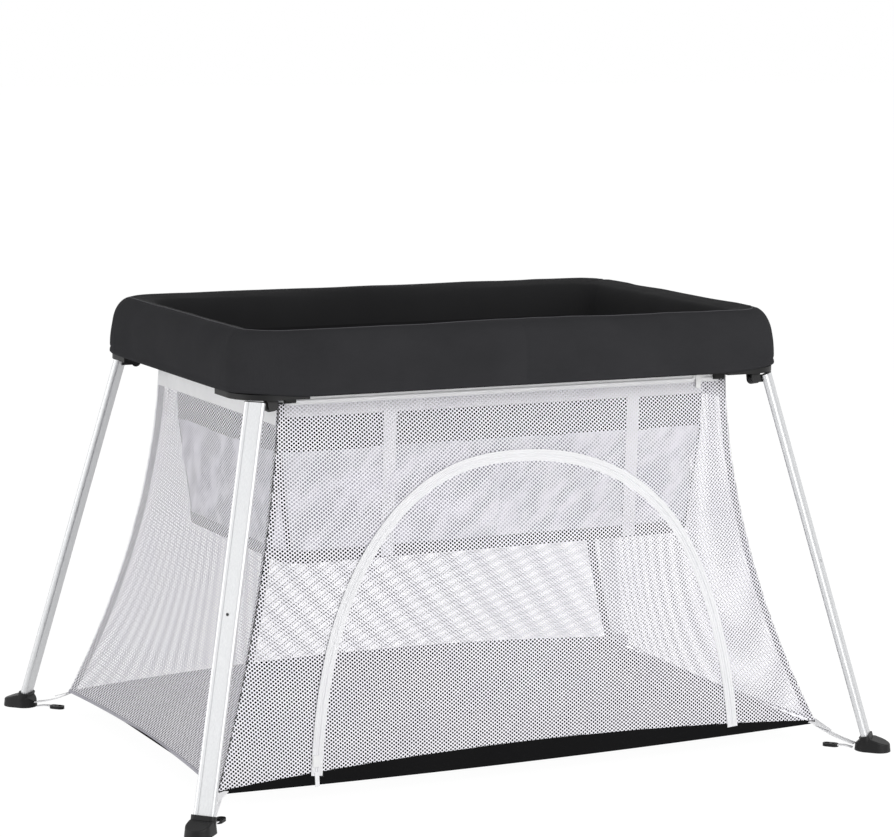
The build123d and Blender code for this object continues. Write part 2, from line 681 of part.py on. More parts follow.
def bassinet_board():
    """Firm floor of the insert, inside its walls."""
    half_x, half_y = bassinet_size(BASSINET_FLOOR)
    inset = BASSINET_CLOTH + SOFT_GAP
    outline = RectangleRounded(2 * (half_x - inset), 2 * (half_y - inset), BASSINET_CORNER - inset)
    return extrude(Pos(0, 0, BASSINET_FLOOR) * outline, BOARD_HEIGHT)


def bassinet_bands(side):
    """White webbing down the outside of both long walls."""
    x = SIDES[side] * BAND_X
    bands = []
    for sign in ENDS.values():
        points = []
        for proud in (SOFT_GAP, SOFT_GAP + BAND_CLOTH):
            rows = [(sign * (bassinet_size(z)[1] + proud), z) for z in (BASSINET_FLOOR, SKIRT_BOTTOM, BAND_TOP)]
            points += rows if proud == SOFT_GAP else rows[::-1]
        face = make_face(Polyline(*points, close=True))
        bands.append(Pos(x, 0, 0) * extrude(Plane.YZ * face, BAND_WIDTH / 2, both=True))
    return Compound(children=bands)


def all_nodes():
    nodes = {}
    for side in SIDES:
        nodes[f"rail_tube_{side}"] = rail_tube(side)
        nodes[f"rail_hinge_{side}"] = hinge_leaf(side)
        nodes[f"leg_pins_{side}"] = leg_pins(side)
        nodes[f"tent_end_{side}"] = end_wall(side)
        nodes[f"tent_clips_{side}"] = tent_clips(side)
        nodes[f"corner_ties_{side}"] = corner_ties(side)
        nodes[f"tie_hooks_{side}"] = tie_hooks(side)
        nodes[f"bassinet_bands_{side}"] = bassinet_bands(side)
    nodes["rail_fold_pins"] = fold_pins()
    for end, side in CORNERS:
        nodes[f"corner_bracket_{end}_{side}"] = corner_bracket(end, side)
        nodes[f"leg_head_{end}_{side}"] = leg_head(end, side)
        nodes[f"leg_tube_{end}_{side}"] = leg_tube(end, side)
        nodes[f"foot_{end}_{side}"] = foot(end, side)
    soft = {
        "rail_pad": rail_pad, "tent_front": tent_front, "tent_back": tent_back, "tent_floor": tent_floor,
        "mattress": mattress, "top_tape": top_tape, "door_panel": door_panel, "door_tape": door_tape,
        "bassinet_skirt": bassinet_skirt, "bassinet_wall": bassinet_wall, "bassinet_board": bassinet_board,
    }
    for name, make in soft.items():
        nodes.update(halves(name, make()))
    nodes["top_zip_slider"] = top_slider()
    nodes["top_zip_pull"] = top_pull()
    nodes["door_zip_slider"] = door_slider()
    return nodes


def main():
    os.makedirs("parts", exist_ok=True)
    for name, shape in all_nodes().items():
        export_step(shape, f"parts/{name}.step")


if __name__ == "__main__":
    main()
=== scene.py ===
# %% [markdown]
# # A folding travel playpen
# A padded black rail stands on four splayed aluminium legs. A white mesh tent hangs under the
# rail and is tied to the feet, and a bassinet insert hangs inside it. The solids come from the
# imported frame. This lesson dresses them: the hard parts keep their solids and get a finish, and
# everything made of cloth is worked out here as a surface.

# %% Load the frame
import math

import bpy
import bmesh
import numpy as np
from mathutils import Matrix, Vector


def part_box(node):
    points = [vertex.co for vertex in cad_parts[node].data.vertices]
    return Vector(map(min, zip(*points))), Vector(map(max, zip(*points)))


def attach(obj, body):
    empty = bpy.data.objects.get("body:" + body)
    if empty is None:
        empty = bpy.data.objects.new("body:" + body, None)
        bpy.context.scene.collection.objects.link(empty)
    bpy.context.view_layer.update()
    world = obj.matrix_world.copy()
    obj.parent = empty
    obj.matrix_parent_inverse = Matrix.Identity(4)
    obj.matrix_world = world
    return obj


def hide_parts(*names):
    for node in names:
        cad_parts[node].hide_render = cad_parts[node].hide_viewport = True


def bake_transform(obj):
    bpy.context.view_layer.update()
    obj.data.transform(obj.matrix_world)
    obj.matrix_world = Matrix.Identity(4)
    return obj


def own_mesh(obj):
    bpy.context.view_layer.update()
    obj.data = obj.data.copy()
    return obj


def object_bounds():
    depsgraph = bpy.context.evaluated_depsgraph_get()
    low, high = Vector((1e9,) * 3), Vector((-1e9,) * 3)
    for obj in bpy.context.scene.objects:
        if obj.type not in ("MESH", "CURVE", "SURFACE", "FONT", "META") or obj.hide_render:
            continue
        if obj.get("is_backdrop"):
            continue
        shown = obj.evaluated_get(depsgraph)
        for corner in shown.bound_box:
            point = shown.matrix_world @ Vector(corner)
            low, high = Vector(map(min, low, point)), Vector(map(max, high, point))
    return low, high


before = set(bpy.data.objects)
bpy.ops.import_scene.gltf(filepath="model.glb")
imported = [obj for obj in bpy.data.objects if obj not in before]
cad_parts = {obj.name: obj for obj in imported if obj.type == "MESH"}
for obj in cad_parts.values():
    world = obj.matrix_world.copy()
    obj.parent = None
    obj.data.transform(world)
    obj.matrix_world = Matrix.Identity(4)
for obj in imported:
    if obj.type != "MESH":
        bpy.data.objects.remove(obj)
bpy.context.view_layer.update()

# %% [markdown]
# All shapes are worked out in millimetres, because that is how a maker thinks of cloth and
# tube, and turned into metres once, when a mesh is made. The few sizes that the cloth needs are
# read from the boxes of the solids that carry it, so the cloth always fits the frame.

# %% Sizes of the frame
MM = 0.001
SIDES = {"left": -1.0, "right": 1.0}
ENDS = {"front": -1.0, "back": 1.0}


def box_mm(node):
    """Lowest and highest corner of a solid, in millimetres."""
    low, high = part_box(node)
    return np.array(low) / MM, np.array(high) / MM


rail_low, rail_high = box_mm("rail_pad_left")
RAIL_X, RAIL_Y = -rail_low[0], -rail_low[1]
RAIL_BOTTOM, RAIL_TOP = rail_low[2], rail_high[2]
end_low, end_high = box_mm("tent_end_left")
TENT_FLOOR_X, TENT_FLOOR_Y, TENT_FLOOR_Z = -end_low[0], -end_low[1], end_low[2]
TENT_TOP_Z = end_high[2]
tape_low = box_mm("top_tape_left")[0]
TENT_TOP_X, TENT_TOP_Y = -tape_low[0], -tape_low[1]
skirt_low, skirt_high = box_mm("bassinet_skirt_left")
wall_low, wall_high = box_mm("bassinet_wall_left")
print("rail half size", RAIL_X, RAIL_Y, "tent floor half size", TENT_FLOOR_X, TENT_FLOOR_Y)

# %% [markdown]
# ## Small tools
# A surface here is a grid of points: one parameter runs along the rows and one along the
# columns. These helpers turn such a grid into a mesh with numpy arrays, without a Python loop
# over its points. The grid's own lengths go into a UV map, in metres, so that a weave can follow
# the cloth.

# %% Meshes from grids
def grid_faces(rows, columns, closed=False):
    """Quads between neighbouring grid points; a closed grid joins its last lines to its first."""
    open_lines = 0 if closed else 1
    i, j = np.meshgrid(np.arange(rows - open_lines), np.arange(columns - open_lines), indexing="ij")
    i2, j2 = (i + 1) % rows, (j + 1) % columns
    corners = [i * columns + j, i * columns + j2, i2 * columns + j2, i2 * columns + j]
    return np.stack(corners, axis=-1).reshape(-1, 4)


def unit(vectors):
    """Vectors (..., k), each scaled to length 1."""
    return vectors / np.linalg.norm(vectors, axis=-1, keepdims=True)


def bell(distance, width):
    """1 at no distance, fading out as exp(-(distance / width) ** 2)."""
    return np.exp(-((distance / width) ** 2))


def ease(t):
    """From 0 to 1 with a level start and end: t * t * (3 - 2 * t)."""
    return t * t * (3 - 2 * t)


def new_object(name, data):
    """An object in the scene."""
    made = bpy.data.objects.new(name, data)
    bpy.context.collection.objects.link(made)
    return made


def stand(thing, at, right, up, back):
    """Places a camera or a lamp at a point in mm, with the directions of its own axes."""
    pose = np.eye(4)
    pose[:3] = np.column_stack([right, up, back, np.array(at) * MM])
    thing.matrix_world = Matrix(pose.tolist())


def new_piece(name, points, faces, material, uv):
    """A mesh object from points (n, 3) in mm, a list of face arrays and a UV (n, 2) in mm."""
    mesh = bpy.data.meshes.new(name)
    corners = np.concatenate([f.ravel() for f in faces]).astype(np.int32)
    sides = np.concatenate([np.full(len(f), f.shape[1]) for f in faces])
    starts = np.concatenate([[0], np.cumsum(sides)[:-1]]).astype(np.int32)
    mesh.vertices.add(len(points))
    mesh.vertices.foreach_set("co", (np.asarray(points, float) * MM).ravel())
    mesh.loops.add(len(corners))
    mesh.loops.foreach_set("vertex_index", corners)
    mesh.polygons.add(len(sides))
    mesh.polygons.foreach_set("loop_start", starts)
    mesh.update(calc_edges=True)
    layer = mesh.uv_layers.new(name="cloth")
    layer.data.foreach_set("uv", (np.asarray(uv, float)[corners] * MM).ravel())
    mesh.polygons.foreach_set("use_smooth", np.full(len(sides), True))
    mesh.validate()
    mesh.materials.append(material)
    return new_object(name, mesh)


def surface(x, y, z):
    """Points (..., 3) from their coordinates, each spread to the shape of all three."""
    return np.stack(np.broadcast_arrays(x, y, z), axis=-1)


def lengths(points):
    """Distance run along a polyline (n, k), from its first point."""
    steps = np.linalg.norm(np.diff(points, axis=0), axis=1)
    return np.concatenate([[0.0], np.cumsum(steps)])


def grid_uv(grid):
    """Arc length along the middle row and the middle column of a grid, as UV."""
    along = lengths(grid[len(grid) // 2])
    across = lengths(grid[:, grid.shape[1] // 2])
    u, v = np.meshgrid(along, across)
    return np.stack([u, v], axis=-1).reshape(-1, 2)


def sheet_piece(name, grid, material, closed=False, flip=False):
    """A single surface from a grid (rows, columns, 3)."""
    faces = grid_faces(*grid.shape[:2], closed)
    if flip:
        faces = faces[:, ::-1]
    return new_piece(name, grid.reshape(-1, 3), [faces], material, grid_uv(grid))


def turn_outward(piece):
    """Points the faces of a closed mesh outward."""
    shell = bmesh.new()
    shell.from_mesh(piece.data)
    bmesh.ops.recalc_face_normals(shell, faces=shell.faces)
    shell.to_mesh(piece.data)
    shell.free()
    return piece


SHARP_ANGLE = math.radians(50)


def thicken(piece, thickness):
    """Gives cloth its thickness in mm, half to each side of its surface, with crisp edges."""
    wall = piece.modifiers.new("thickness", "SOLIDIFY")
    wall.thickness = thickness * MM
    wall.offset = 0.0
    ready = piece.evaluated_get(bpy.context.evaluated_depsgraph_get())
    mesh = bpy.data.meshes.new_from_object(ready)
    mesh.set_sharp_from_angle(angle=SHARP_ANGLE)
    piece.modifiers.clear()
    piece.data = mesh
    return piece


def join(pieces, name):
    """One object from several, kept in the first."""
    with bpy.context.temp_override(active_object=pieces[0], selected_editable_objects=pieces):
        bpy.ops.object.join()
    pieces[0].name = name
    return pieces[0]


def soft_noise(u, v, seed, columns, rows, wrap=False):
    """Smooth value noise from -1 to 1: random values on a lattice, eased between its points.

    u and v run from 0 to 1; wrap makes u close on itself.
    """
    values = np.random.default_rng(seed).uniform(-1.0, 1.0, (rows + 2, columns + 2))
    if wrap:
        values[:, columns] = values[:, 0]
        values[:, columns + 1] = values[:, 1]
    x, y = np.clip(u, 0, 1) * columns, np.clip(v, 0, 1) * rows
    i, j = np.minimum(x.astype(int), columns), np.minimum(y.astype(int), rows)
    fx, fy = ease(x - i), ease(y - j)
    low = values[j, i] * (1 - fx) + values[j, i + 1] * fx
    high = values[j + 1, i] * (1 - fx) + values[j + 1, i + 1] * fx
    return low * (1 - fy) + high * fy


print("helpers ready")

# %% [markdown]
# ## Camera
# The photograph was taken from the front left with a long lens, a little above the rail. The
# camera is placed by its position, the compass angle it looks along, how far it looks down, and
# a slight roll.

# %% Camera
CAMERA_AT = np.array([-1892.4, -3890.7, 1109.0])
CAMERA_AZIMUTH = math.radians(26.11)
CAMERA_DOWN = math.radians(8.2725)
CAMERA_ROLL = math.radians(0.5276)
IMAGE_WIDTH_PX = 894.0
FOCAL_PX = 2884.27
SENSOR_MM = 36.0

forward = np.array([
    math.sin(CAMERA_AZIMUTH) * math.cos(CAMERA_DOWN),
    math.cos(CAMERA_AZIMUTH) * math.cos(CAMERA_DOWN),
    -math.sin(CAMERA_DOWN),
])
level = np.array([math.cos(CAMERA_AZIMUTH), -math.sin(CAMERA_AZIMUTH), 0.0])
upright = np.cross(level, forward)
right = math.cos(CAMERA_ROLL) * level + math.sin(CAMERA_ROLL) * upright
up = -math.sin(CAMERA_ROLL) * level + math.cos(CAMERA_ROLL) * upright
camera_data = bpy.data.cameras.new("camera")
camera_data.sensor_width = SENSOR_MM
camera_data.lens = FOCAL_PX / IMAGE_WIDTH_PX * SENSOR_MM
camera_data.clip_end = 100.0
camera = new_object("camera", camera_data)
stand(camera, CAMERA_AT, right, up, -forward)
bpy.context.scene.camera = camera
print("lens", round(camera_data.lens, 2))

# %% [markdown]
# ## Materials
# Each finish starts from what the real material is. One function turns the sRGB hex of a colour
# chart into the linear values that shaders use, and one adds a node with its settings and links.

# %% Node helpers
def linear(hex_colour):
    """sRGB hex to linear RGBA: c / 12.92 below 0.04045, else ((c + 0.055) / 1.055) ** 2.4."""
    c = np.array([int(hex_colour[i:i + 2], 16) for i in (1, 3, 5)]) / 255.0
    value = np.where(c <= 0.04045, c / 12.92, ((c + 0.055) / 1.055) ** 2.4)
    return (*value, 1.0)


def feed(tree, node, inputs):
    """Links or sets a node's inputs."""
    for socket, value in inputs.items():
        if isinstance(value, bpy.types.NodeSocket):
            tree.links.new(value, node.inputs[socket])
        else:
            node.inputs[socket].default_value = value


def add(tree, kind, inputs, **settings):
    """Adds a node, sets its properties and feeds its inputs."""
    made = tree.nodes.new(kind)
    for key, value in settings.items():
        setattr(made, key, value)
    feed(tree, made, inputs)
    return made


def calc(tree, operation, *values):
    """A sum on sockets or numbers."""
    return add(tree, "ShaderNodeMath", dict(enumerate(values)), operation=operation).outputs[0]


def noise(tree, place, scale, detail):
    """Noise from 0 to 1."""
    inputs = {"Vector": place, "Scale": scale, "Detail": detail}
    return add(tree, "ShaderNodeTexNoise", inputs).outputs["Fac"]


def ranged(tree, value, low, high, start=0.0, end=1.0):
    """Carries a value from the range start to end over to the range low to high."""
    inputs = {"Value": value, "From Min": start, "From Max": end, "To Min": low, "To Max": high}
    return add(tree, "ShaderNodeMapRange", inputs).outputs["Result"]


def relief(tree, height, strength, depth_mm):
    """The normal of a surface with a fine relief."""
    inputs = {"Height": height, "Strength": strength, "Distance": depth_mm * MM}
    return add(tree, "ShaderNodeBump", inputs).outputs["Normal"]


def new_material(name):
    """An empty node material with its Principled shader."""
    material = bpy.data.materials.new(name)
    material.use_nodes = True
    tree = material.node_tree
    return material, tree, tree.nodes["Principled BSDF"]


def shade_between(tree, factor, low, high):
    """A colour ramp from one hex colour to another."""
    ramp = add(tree, "ShaderNodeValToRGB", {"Fac": factor})
    ramp.color_ramp.elements[0].color = linear(low)
    ramp.color_ramp.elements[1].color = linear(high)
    return ramp.outputs["Color"]


def waves(tree, coordinate, spacing_mm, direction):
    """Straight ridges, one every spacing_mm: a wave texture turns 20 radians per unit of scale."""
    inputs = {"Vector": coordinate, "Scale": 2 * math.pi / (20.0 * spacing_mm * MM)}
    settings = {"wave_type": "BANDS", "bands_direction": direction, "wave_profile": "SIN"}
    return add(tree, "ShaderNodeTexWave", inputs, **settings).outputs["Fac"]


print("colour test", [round(c, 3) for c in linear("#808080")])

# %% [markdown]
# Woven polyester canvas covers the rail: threads cross over and under each other, so light
# catches a fine checked relief, and the cloth is a soft black that shows charcoal where the
# light falls. The hollows between the threads are also drawn darker in colour, as painted shade.
# The real thread is about 0.4 mm; it is drawn at 1.6 mm here so that it shows. Cloth with
# painted creases gets long, leaning streaks of painted shade with more contrast, in place of the
# random drifts of tone.

# %% Woven cloth
WEAVE_PAINTED_SHADE = 0.35
PAINTED_CREASE_TURN = (0, 0, math.radians(-50))
PAINTED_CREASE_STRETCH = (2.0, 1.0, 1.0)
PAINTED_CREASE_RANGE = (0.4, 0.64)


def woven_cloth(
    name, low, high, thread=1.2, depth=0.4, rough=0.8, sheen=0.0, gloss=0.1, drifts=9.0, painted_creases=False,
):
    """Plain weave on the cloth's own UV: warp ridges times weft ridges, with drifts of tone.

    thread is the spacing of the ridges in mm, depth the share of their relief that shows. With
    painted_creases the drifts become long, leaning streaks of painted crease shade.
    """
    material, tree, shader = new_material(name)
    uv = add(tree, "ShaderNodeUVMap", {}, uv_map="cloth").outputs["UV"]
    weave = calc(tree, "MULTIPLY", *(waves(tree, uv, thread, way) for way in "XY"))
    # Painted crease shade: the drifts are turned and stretched into leaning streaks and given more contrast.
    if painted_creases:
        lean = {"Vector": uv, "Rotation": PAINTED_CREASE_TURN, "Scale": PAINTED_CREASE_STRETCH}
        uv = add(tree, "ShaderNodeMapping", lean, vector_type="TEXTURE").outputs["Vector"]
    drift_and_crease_shade = noise(tree, uv, drifts, 3.0)
    if painted_creases:
        drift_and_crease_shade = ranged(tree, drift_and_crease_shade, 0.0, 1.0, *PAINTED_CREASE_RANGE)
    # The weave's hollows are drawn darker in colour: painted shade between the threads, on top of their real
    # relief and a random drift of tone.
    shade = calc(tree, "MULTIPLY_ADD", weave, WEAVE_PAINTED_SHADE, drift_and_crease_shade)
    feed(tree, shader, {
        "Base Color": shade_between(tree, shade, low, high), "Normal": relief(tree, weave, depth, 0.4),
        "Roughness": rough, "Sheen Weight": sheen, "Sheen Roughness": 0.5, "Specular IOR Level": gloss,
    })
    return material


CANVAS = {"thread": 1.6, "depth": 0.3, "rough": 0.85}
rail_canvas = woven_cloth(
    "black polyester canvas", "#29292B", "#373739", thread=1.6, depth=0.25, rough=0.85, gloss=0.03,
)
# A darker copy of the rail canvas for the inside of the rail: painted shade, as less light reaches it.
rail_lining_painted_shade = woven_cloth("black rail lining, painted shade", "#1C1C1D", "#252526", **CANVAS)
skirt_canvas = woven_cloth("black lining cloth", "#161617", "#202021", **CANVAS)
floor_canvas = woven_cloth("coated black floor cloth", "#0A0A0B", "#111112", thread=2.2, depth=0.3, gloss=0.08)
# The insert's white lining is drawn grey with long, leaning darker streaks: painted shade for the inside of the
# tent and for its creases.
insert_cloth_painted_shade = woven_cloth(
    "white polyester lining, painted crease shade", "#94929D", "#F0EEF6",
    thread=1.8, depth=0.3, rough=0.85, drifts=30.0, painted_creases=True,
)
zip_tape = woven_cloth("white zip tape", "#EBEBED", "#F9F9FA", rough=0.7, sheen=0.1, gloss=0.3)
door_zip_tape = woven_cloth("pale door zip tape", "#E4E4E6", "#F3F3F5")
stitching = woven_cloth("grey stitching thread", "#5A5960", "#6C6B72", thread=1.0)
hem_tape = woven_cloth("grey hem tape", "#9D9CA3", "#BDBCC4")
webbing = woven_cloth(
    "white nylon webbing", "#ECECEE", "#F8F8F9", thread=1.5, depth=0.6, rough=0.6, sheen=0.1, gloss=0.3,
)
black_binding = woven_cloth("black bias binding", "#101011", "#1A1A1B", sheen=0.05, gloss=0.3)
# The piping's lighter grey is a painted highlight along the rail's crest.
piping_painted_highlight = woven_cloth("grey piping cord, painted highlight", "#3A3A3C", "#56565A", thread=1.0, gloss=0.3)
pad_cloth = woven_cloth(
    "charcoal pad cloth", "#2A2A2C", "#3B3B3D", thread=2.0, depth=0.35, rough=0.85, sheen=0.08, gloss=0.3,
)
print("cloths", [m.name for m in bpy.data.materials])

# %% [markdown]
# The tent is warp-knitted polyester: a white net with small round holes in staggered rows. The
# holes are cut in the mesh itself further down. The yarn between them is soft and slightly
# cloudy, with fine ribs along the knitting direction.

# %% Knitted net
knit_net, tree, shader = new_material("white warp knit")
uv = add(tree, "ShaderNodeUVMap", {}, uv_map="cloth").outputs["UV"]
ribs = waves(tree, uv, 1.8, "X")
# The knit's rib hollows are drawn darker too: painted shade, with a cloudy drift of tone.
shade = calc(tree, "MULTIPLY_ADD", ribs, 0.3, noise(tree, uv, 14.0, 2.0))
feed(tree, shader, {
    "Base Color": shade_between(tree, shade, "#EEECF5", "#FAF9FD"), "Normal": relief(tree, ribs, 0.3, 0.3),
    "Roughness": 0.85, "Sheen Weight": 0.1, "Specular IOR Level": 0.2,
})
print("net", knit_net.name)

# %% [markdown]
# The legs are extruded aluminium, anodised to a pale satin. Drawing through the die leaves very
# fine lines along the tube, so the roughness varies in long streaks. The feet, brackets and
# hooks are moulded black plastic with a fine spark-eroded grain, and the sliders are white
# plastic.

# %% Aluminium and plastics
STREAK_MM, STREAK_LENGTH_MM = 1.2, 90.0
aluminium, tree, shader = new_material("pale anodised aluminium")
place = add(tree, "ShaderNodeTexCoord", {}).outputs["Object"]
stretch = tuple(1 / (size * MM) for size in (STREAK_MM, STREAK_MM, STREAK_LENGTH_MM))
place = add(tree, "ShaderNodeMapping", {"Vector": place, "Scale": stretch}).outputs["Vector"]
streaks = noise(tree, place, 1.0, 3.0)
feed(tree, shader, {
    "Base Color": shade_between(tree, streaks, "#C6C7C9", "#E0E1E2"),
    "Roughness": ranged(tree, streaks, 0.32, 0.46),
    "Normal": relief(tree, streaks, 0.08, 0.2), "Metallic": 0.55,
})


def moulded(name, low, high, rough, grain_mm, gloss=0.5, metal=0.0):
    """A moulded or plated surface: a fine grain in the relief and a slow drift of shade."""
    material, tree, shader = new_material(name)
    place = add(tree, "ShaderNodeTexCoord", {}).outputs["Object"]
    grain = noise(tree, place, 1 / (grain_mm * MM), 2.0)
    feed(tree, shader, {
        "Base Color": shade_between(tree, noise(tree, place, 25.0, 2.0), low, high),
        "Roughness": ranged(tree, grain, rough - 0.06, rough + 0.06),
        "Normal": relief(tree, grain, 0.15, 0.3), "Specular IOR Level": gloss, "Metallic": metal,
    })
    return material


black_plastic = moulded("moulded black nylon", "#0B0B0B", "#151516", 0.5, 0.9, gloss=0.25)
white_plastic = moulded("moulded white acetal", "#E6E6E6", "#F5F5F5", 0.32, 1.2)
steel = moulded("zinc plated steel", "#8E9093", "#A7A9AC", 0.36, 0.8, metal=1.0)
for name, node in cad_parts.items():
    if name.startswith(("leg_tube", "rail_tube")):
        finish = aluminium
    elif name.startswith(("rail_hinge", "rail_fold")):
        finish = steel
    elif name.startswith(("top_zip", "door_zip")):
        finish = white_plastic
    else:
        finish = black_plastic
    node.data.materials.clear()
    node.data.materials.append(finish)
print("finishes on", len(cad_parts), "solids")

# %% [markdown]
# ## The padded rail
# A sewn canvas sleeve is pulled over foam on the rail tube. Its section is a rounded wedge:
# upright and slightly full outside, round over the top, and steeper inside. That section is
# carried round an oblong with rounded corners.

# %% Rounded oblongs
LONG_STEPS, SHORT_STEPS, CORNER_STEPS = 220, 140, 26


def oblong(half_x, half_y, radius, long_steps=LONG_STEPS, short_steps=SHORT_STEPS, corner_steps=CORNER_STEPS):
    """Points round rounded oblongs, anticlockwise from the middle of the front side.

    half_x, half_y and radius have one value per ring; each ring has the same number of points.
    A corner is its centre plus radius times (cos a, sin a) over a quarter turn, and the second
    half of a ring is the first one turned about the middle.
    """
    half_x, half_y, radius = (np.atleast_1d(np.asarray(v, float))[:, None] for v in (half_x, half_y, radius))
    quarter = (np.arange(corner_steps) + 0.5) / corner_steps * math.pi / 2
    cos, sin = radius * np.cos(quarter), radius * np.sin(quarter)
    half_long = (np.arange(long_steps // 2) + 0.5) / (long_steps // 2)
    short = (np.arange(short_steps) + 0.5) / short_steps * 2 - 1
    flat_x, flat_y = half_x - radius, half_y - radius
    half = np.concatenate([
        surface(flat_x * half_long, -half_y, 0), surface(flat_x + sin, -flat_y - cos, 0),
        surface(half_x, flat_y * short, 0), surface(flat_x + cos, flat_y + sin, 0),
        surface(flat_x * half_long[::-1], half_y, 0),
    ], axis=1)[..., :2]
    return np.concatenate([half, -half], axis=1)


def outward(rings):
    """Unit directions (..., n, 2) that point out of closed rings."""
    ahead = unit(np.roll(rings, -1, axis=-2) - np.roll(rings, 1, axis=-2))
    return np.stack([ahead[..., 1], -ahead[..., 0]], axis=-1)


def half_of(grid, sign):
    """The columns of a ring grid on one side of the fold, in order, ending on the fold line."""
    x, y = grid[0, :, 0], grid[0, :, 1]
    start = np.argmin(np.abs(x) + 1e4 * (y * sign > 0) + 1e3 * (x * sign < 0))
    turned = np.roll(grid, -start, axis=1)
    half = turned[:, turned[0, :, 0] * sign > 0]
    first, last = half[:, :1].copy(), half[:, -1:].copy()
    first[..., 0], last[..., 0] = 0.0, 0.0
    return np.concatenate([first, half, last], axis=1)


def smooth_loop(points, count):
    """A closed Catmull-Rom curve through points, as count samples."""
    points = np.asarray(points, float)
    t = np.arange(count) / count * len(points)
    i = t.astype(int)
    f = (t - i)[:, None]
    a, b, c, d = (points[(i + k) % len(points)] for k in (-1, 0, 1, 2))
    return 0.5 * (2 * b + (c - a) * f + (2 * a - 5 * b + 4 * c - d) * f**2 + (3 * b - a - 3 * c + d) * f**3)


print("ring", oblong(100, 60, 20).shape)

# %% Rail sleeve
RAIL_CORNER, RAIL_INNER_CORNER, RAIL_THICKNESS = 62.0, 30.0, 82.0
SECTION = [
    (1.5, 568), (0.5, 578), (1, 595), (2.5, 614), (6, 633), (12, 647), (20, 655), (27.5, 657), (36, 655.8),
    (47, 653.4), (58, 648.8), (67, 632), (74, 600), (80, 569), (62, 566), (40, 566), (18, 566),
]
FOLD_SECTION = [
    *SECTION[:5], (13, 647), (25, 655), (40, 657.5), (52, 656), (60, 650), (66, 637), (71, 615), (76, 589),
    *SECTION[-4:],
]
FOLD_REACH = 130.0
SECTION_STEPS = 68


def sleeve_of(points):
    """Rings of a section carried round the oblong, with the insets and heights of the section."""
    inset, height = smooth_loop(points, SECTION_STEPS).T
    radius = RAIL_CORNER + (RAIL_INNER_CORNER - RAIL_CORNER) * inset / RAIL_THICKNESS
    flat = oblong(RAIL_X - inset, RAIL_Y - inset, radius)
    return surface(flat[..., 0], flat[..., 1], height[:, None]), inset, height


sleeve, inset, height = sleeve_of(SECTION)
at_fold = bell(sleeve[..., :1], FOLD_REACH) * (np.abs(sleeve[..., 1:2]) > RAIL_Y - 2 * RAIL_THICKNESS)
sleeve = sleeve + at_fold * (sleeve_of(FOLD_SECTION)[0] - sleeve)
rings = sleeve[..., :2]
ring_count, around = rings.shape[:2]
print("rail section of", ring_count, "points, carried round", around)

# %% [markdown]
# Soft noise gives the sleeve its slack, and narrow grooves are the sewn seams beside each
# corner, where the cloth puckers. The lower edge rises a little towards the ends and corners,
# and a row of stitching runs round above it.

# %% Slack, seams and lower edge of the sleeve
SEAM_DEPTH, SEAM_WIDTH = 0.7, 2.5
PUCKER, PUCKER_REACH = 0.6, 18.0
SLACK, FINE_SLACK = 0.6, 0.35
END_RISE, END_START, END_RUN = 4.0, 110.0, 90.0
CORNER_RISE, CORNER_INSET, CORNER_REACH = 2.0, 18.0, 60.0
EDGE_HEIGHT, EDGE_DEPTH = 45.0, 40.0
STITCH_HEIGHT, STITCH_DEPTH, STITCH_WIDTH, STITCH_INSET = 11.0, 0.9, 1.6, 10.0

along_ring = (np.arange(around) + 0.5) / around * np.ones((ring_count, 1))
round_section = (np.arange(ring_count) / ring_count)[:, None] * np.ones((1, around))
out = outward(rings)
rising, receding = np.gradient(height)[:, None], np.gradient(inset)[:, None]
size = np.hypot(rising, receding)
normal = surface(out[..., 0] * (rising / size), out[..., 1] * (rising / size), receding / size)

corner_x, corner_y = RAIL_X - RAIL_CORNER, RAIL_Y - RAIL_CORNER
seam_distance = np.abs(np.abs(rings[..., 1]) - corner_y) + 1e3 * (np.abs(rings[..., 0]) < corner_x)
seam = bell(seam_distance, SEAM_WIDTH)
pucker = bell(seam_distance, PUCKER_REACH) * soft_noise(along_ring, round_section, 5, 420, 9, True)
upper = np.clip((height - RAIL_BOTTOM) / (RAIL_TOP - RAIL_BOTTOM), 0, 1)[:, None]
slack = SLACK * soft_noise(along_ring, round_section, 1, 34, 10, True)
slack = slack + FINE_SLACK * soft_noise(along_ring, round_section, 2, 90, 16, True)
lift = (slack + PUCKER * pucker) * np.clip(upper * 6, 0.1, 1) - SEAM_DEPTH * seam * np.clip(upper * 4, 0, 1)
sleeve = sleeve + normal * lift[..., None]

toward_end = np.clip((np.abs(rings[..., 0]) - (RAIL_X - END_START)) / END_RUN, 0, 1)
from_corner = np.linalg.norm(np.abs(rings) - (RAIL_X, RAIL_Y) + CORNER_INSET, axis=-1)
low_edge = np.clip(1 - (height - RAIL_BOTTOM) / EDGE_HEIGHT, 0, 1) * np.clip(1.3 - inset / EDGE_DEPTH, 0, 1)
rise = END_RISE * ease(toward_end) + CORNER_RISE * bell(from_corner, CORNER_REACH)
sleeve[..., 2] += low_edge[:, None] * rise
stitch = bell(height - RAIL_BOTTOM - STITCH_HEIGHT, STITCH_WIDTH) * (inset < STITCH_INSET)
sleeve -= normal * (STITCH_DEPTH * stitch)[:, None, None]
crest = int(np.argmax(height))
rail_sleeve = turn_outward(sheet_piece("rail_sleeve", sleeve, rail_canvas, closed=True))
# Faces from the crest inward take the darker copy of the canvas: painted shade on the rail's inner side.
rail_sleeve.data.materials.append(rail_lining_painted_shade)
painted_shade_faces = np.repeat(np.arange(ring_count) >= crest, around).astype(np.int32)
rail_sleeve.data.polygons.foreach_set("material_index", painted_shade_faces)
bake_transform(rail_sleeve)
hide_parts("rail_pad_left", "rail_pad_right")
print("rail sleeve", sleeve.shape)

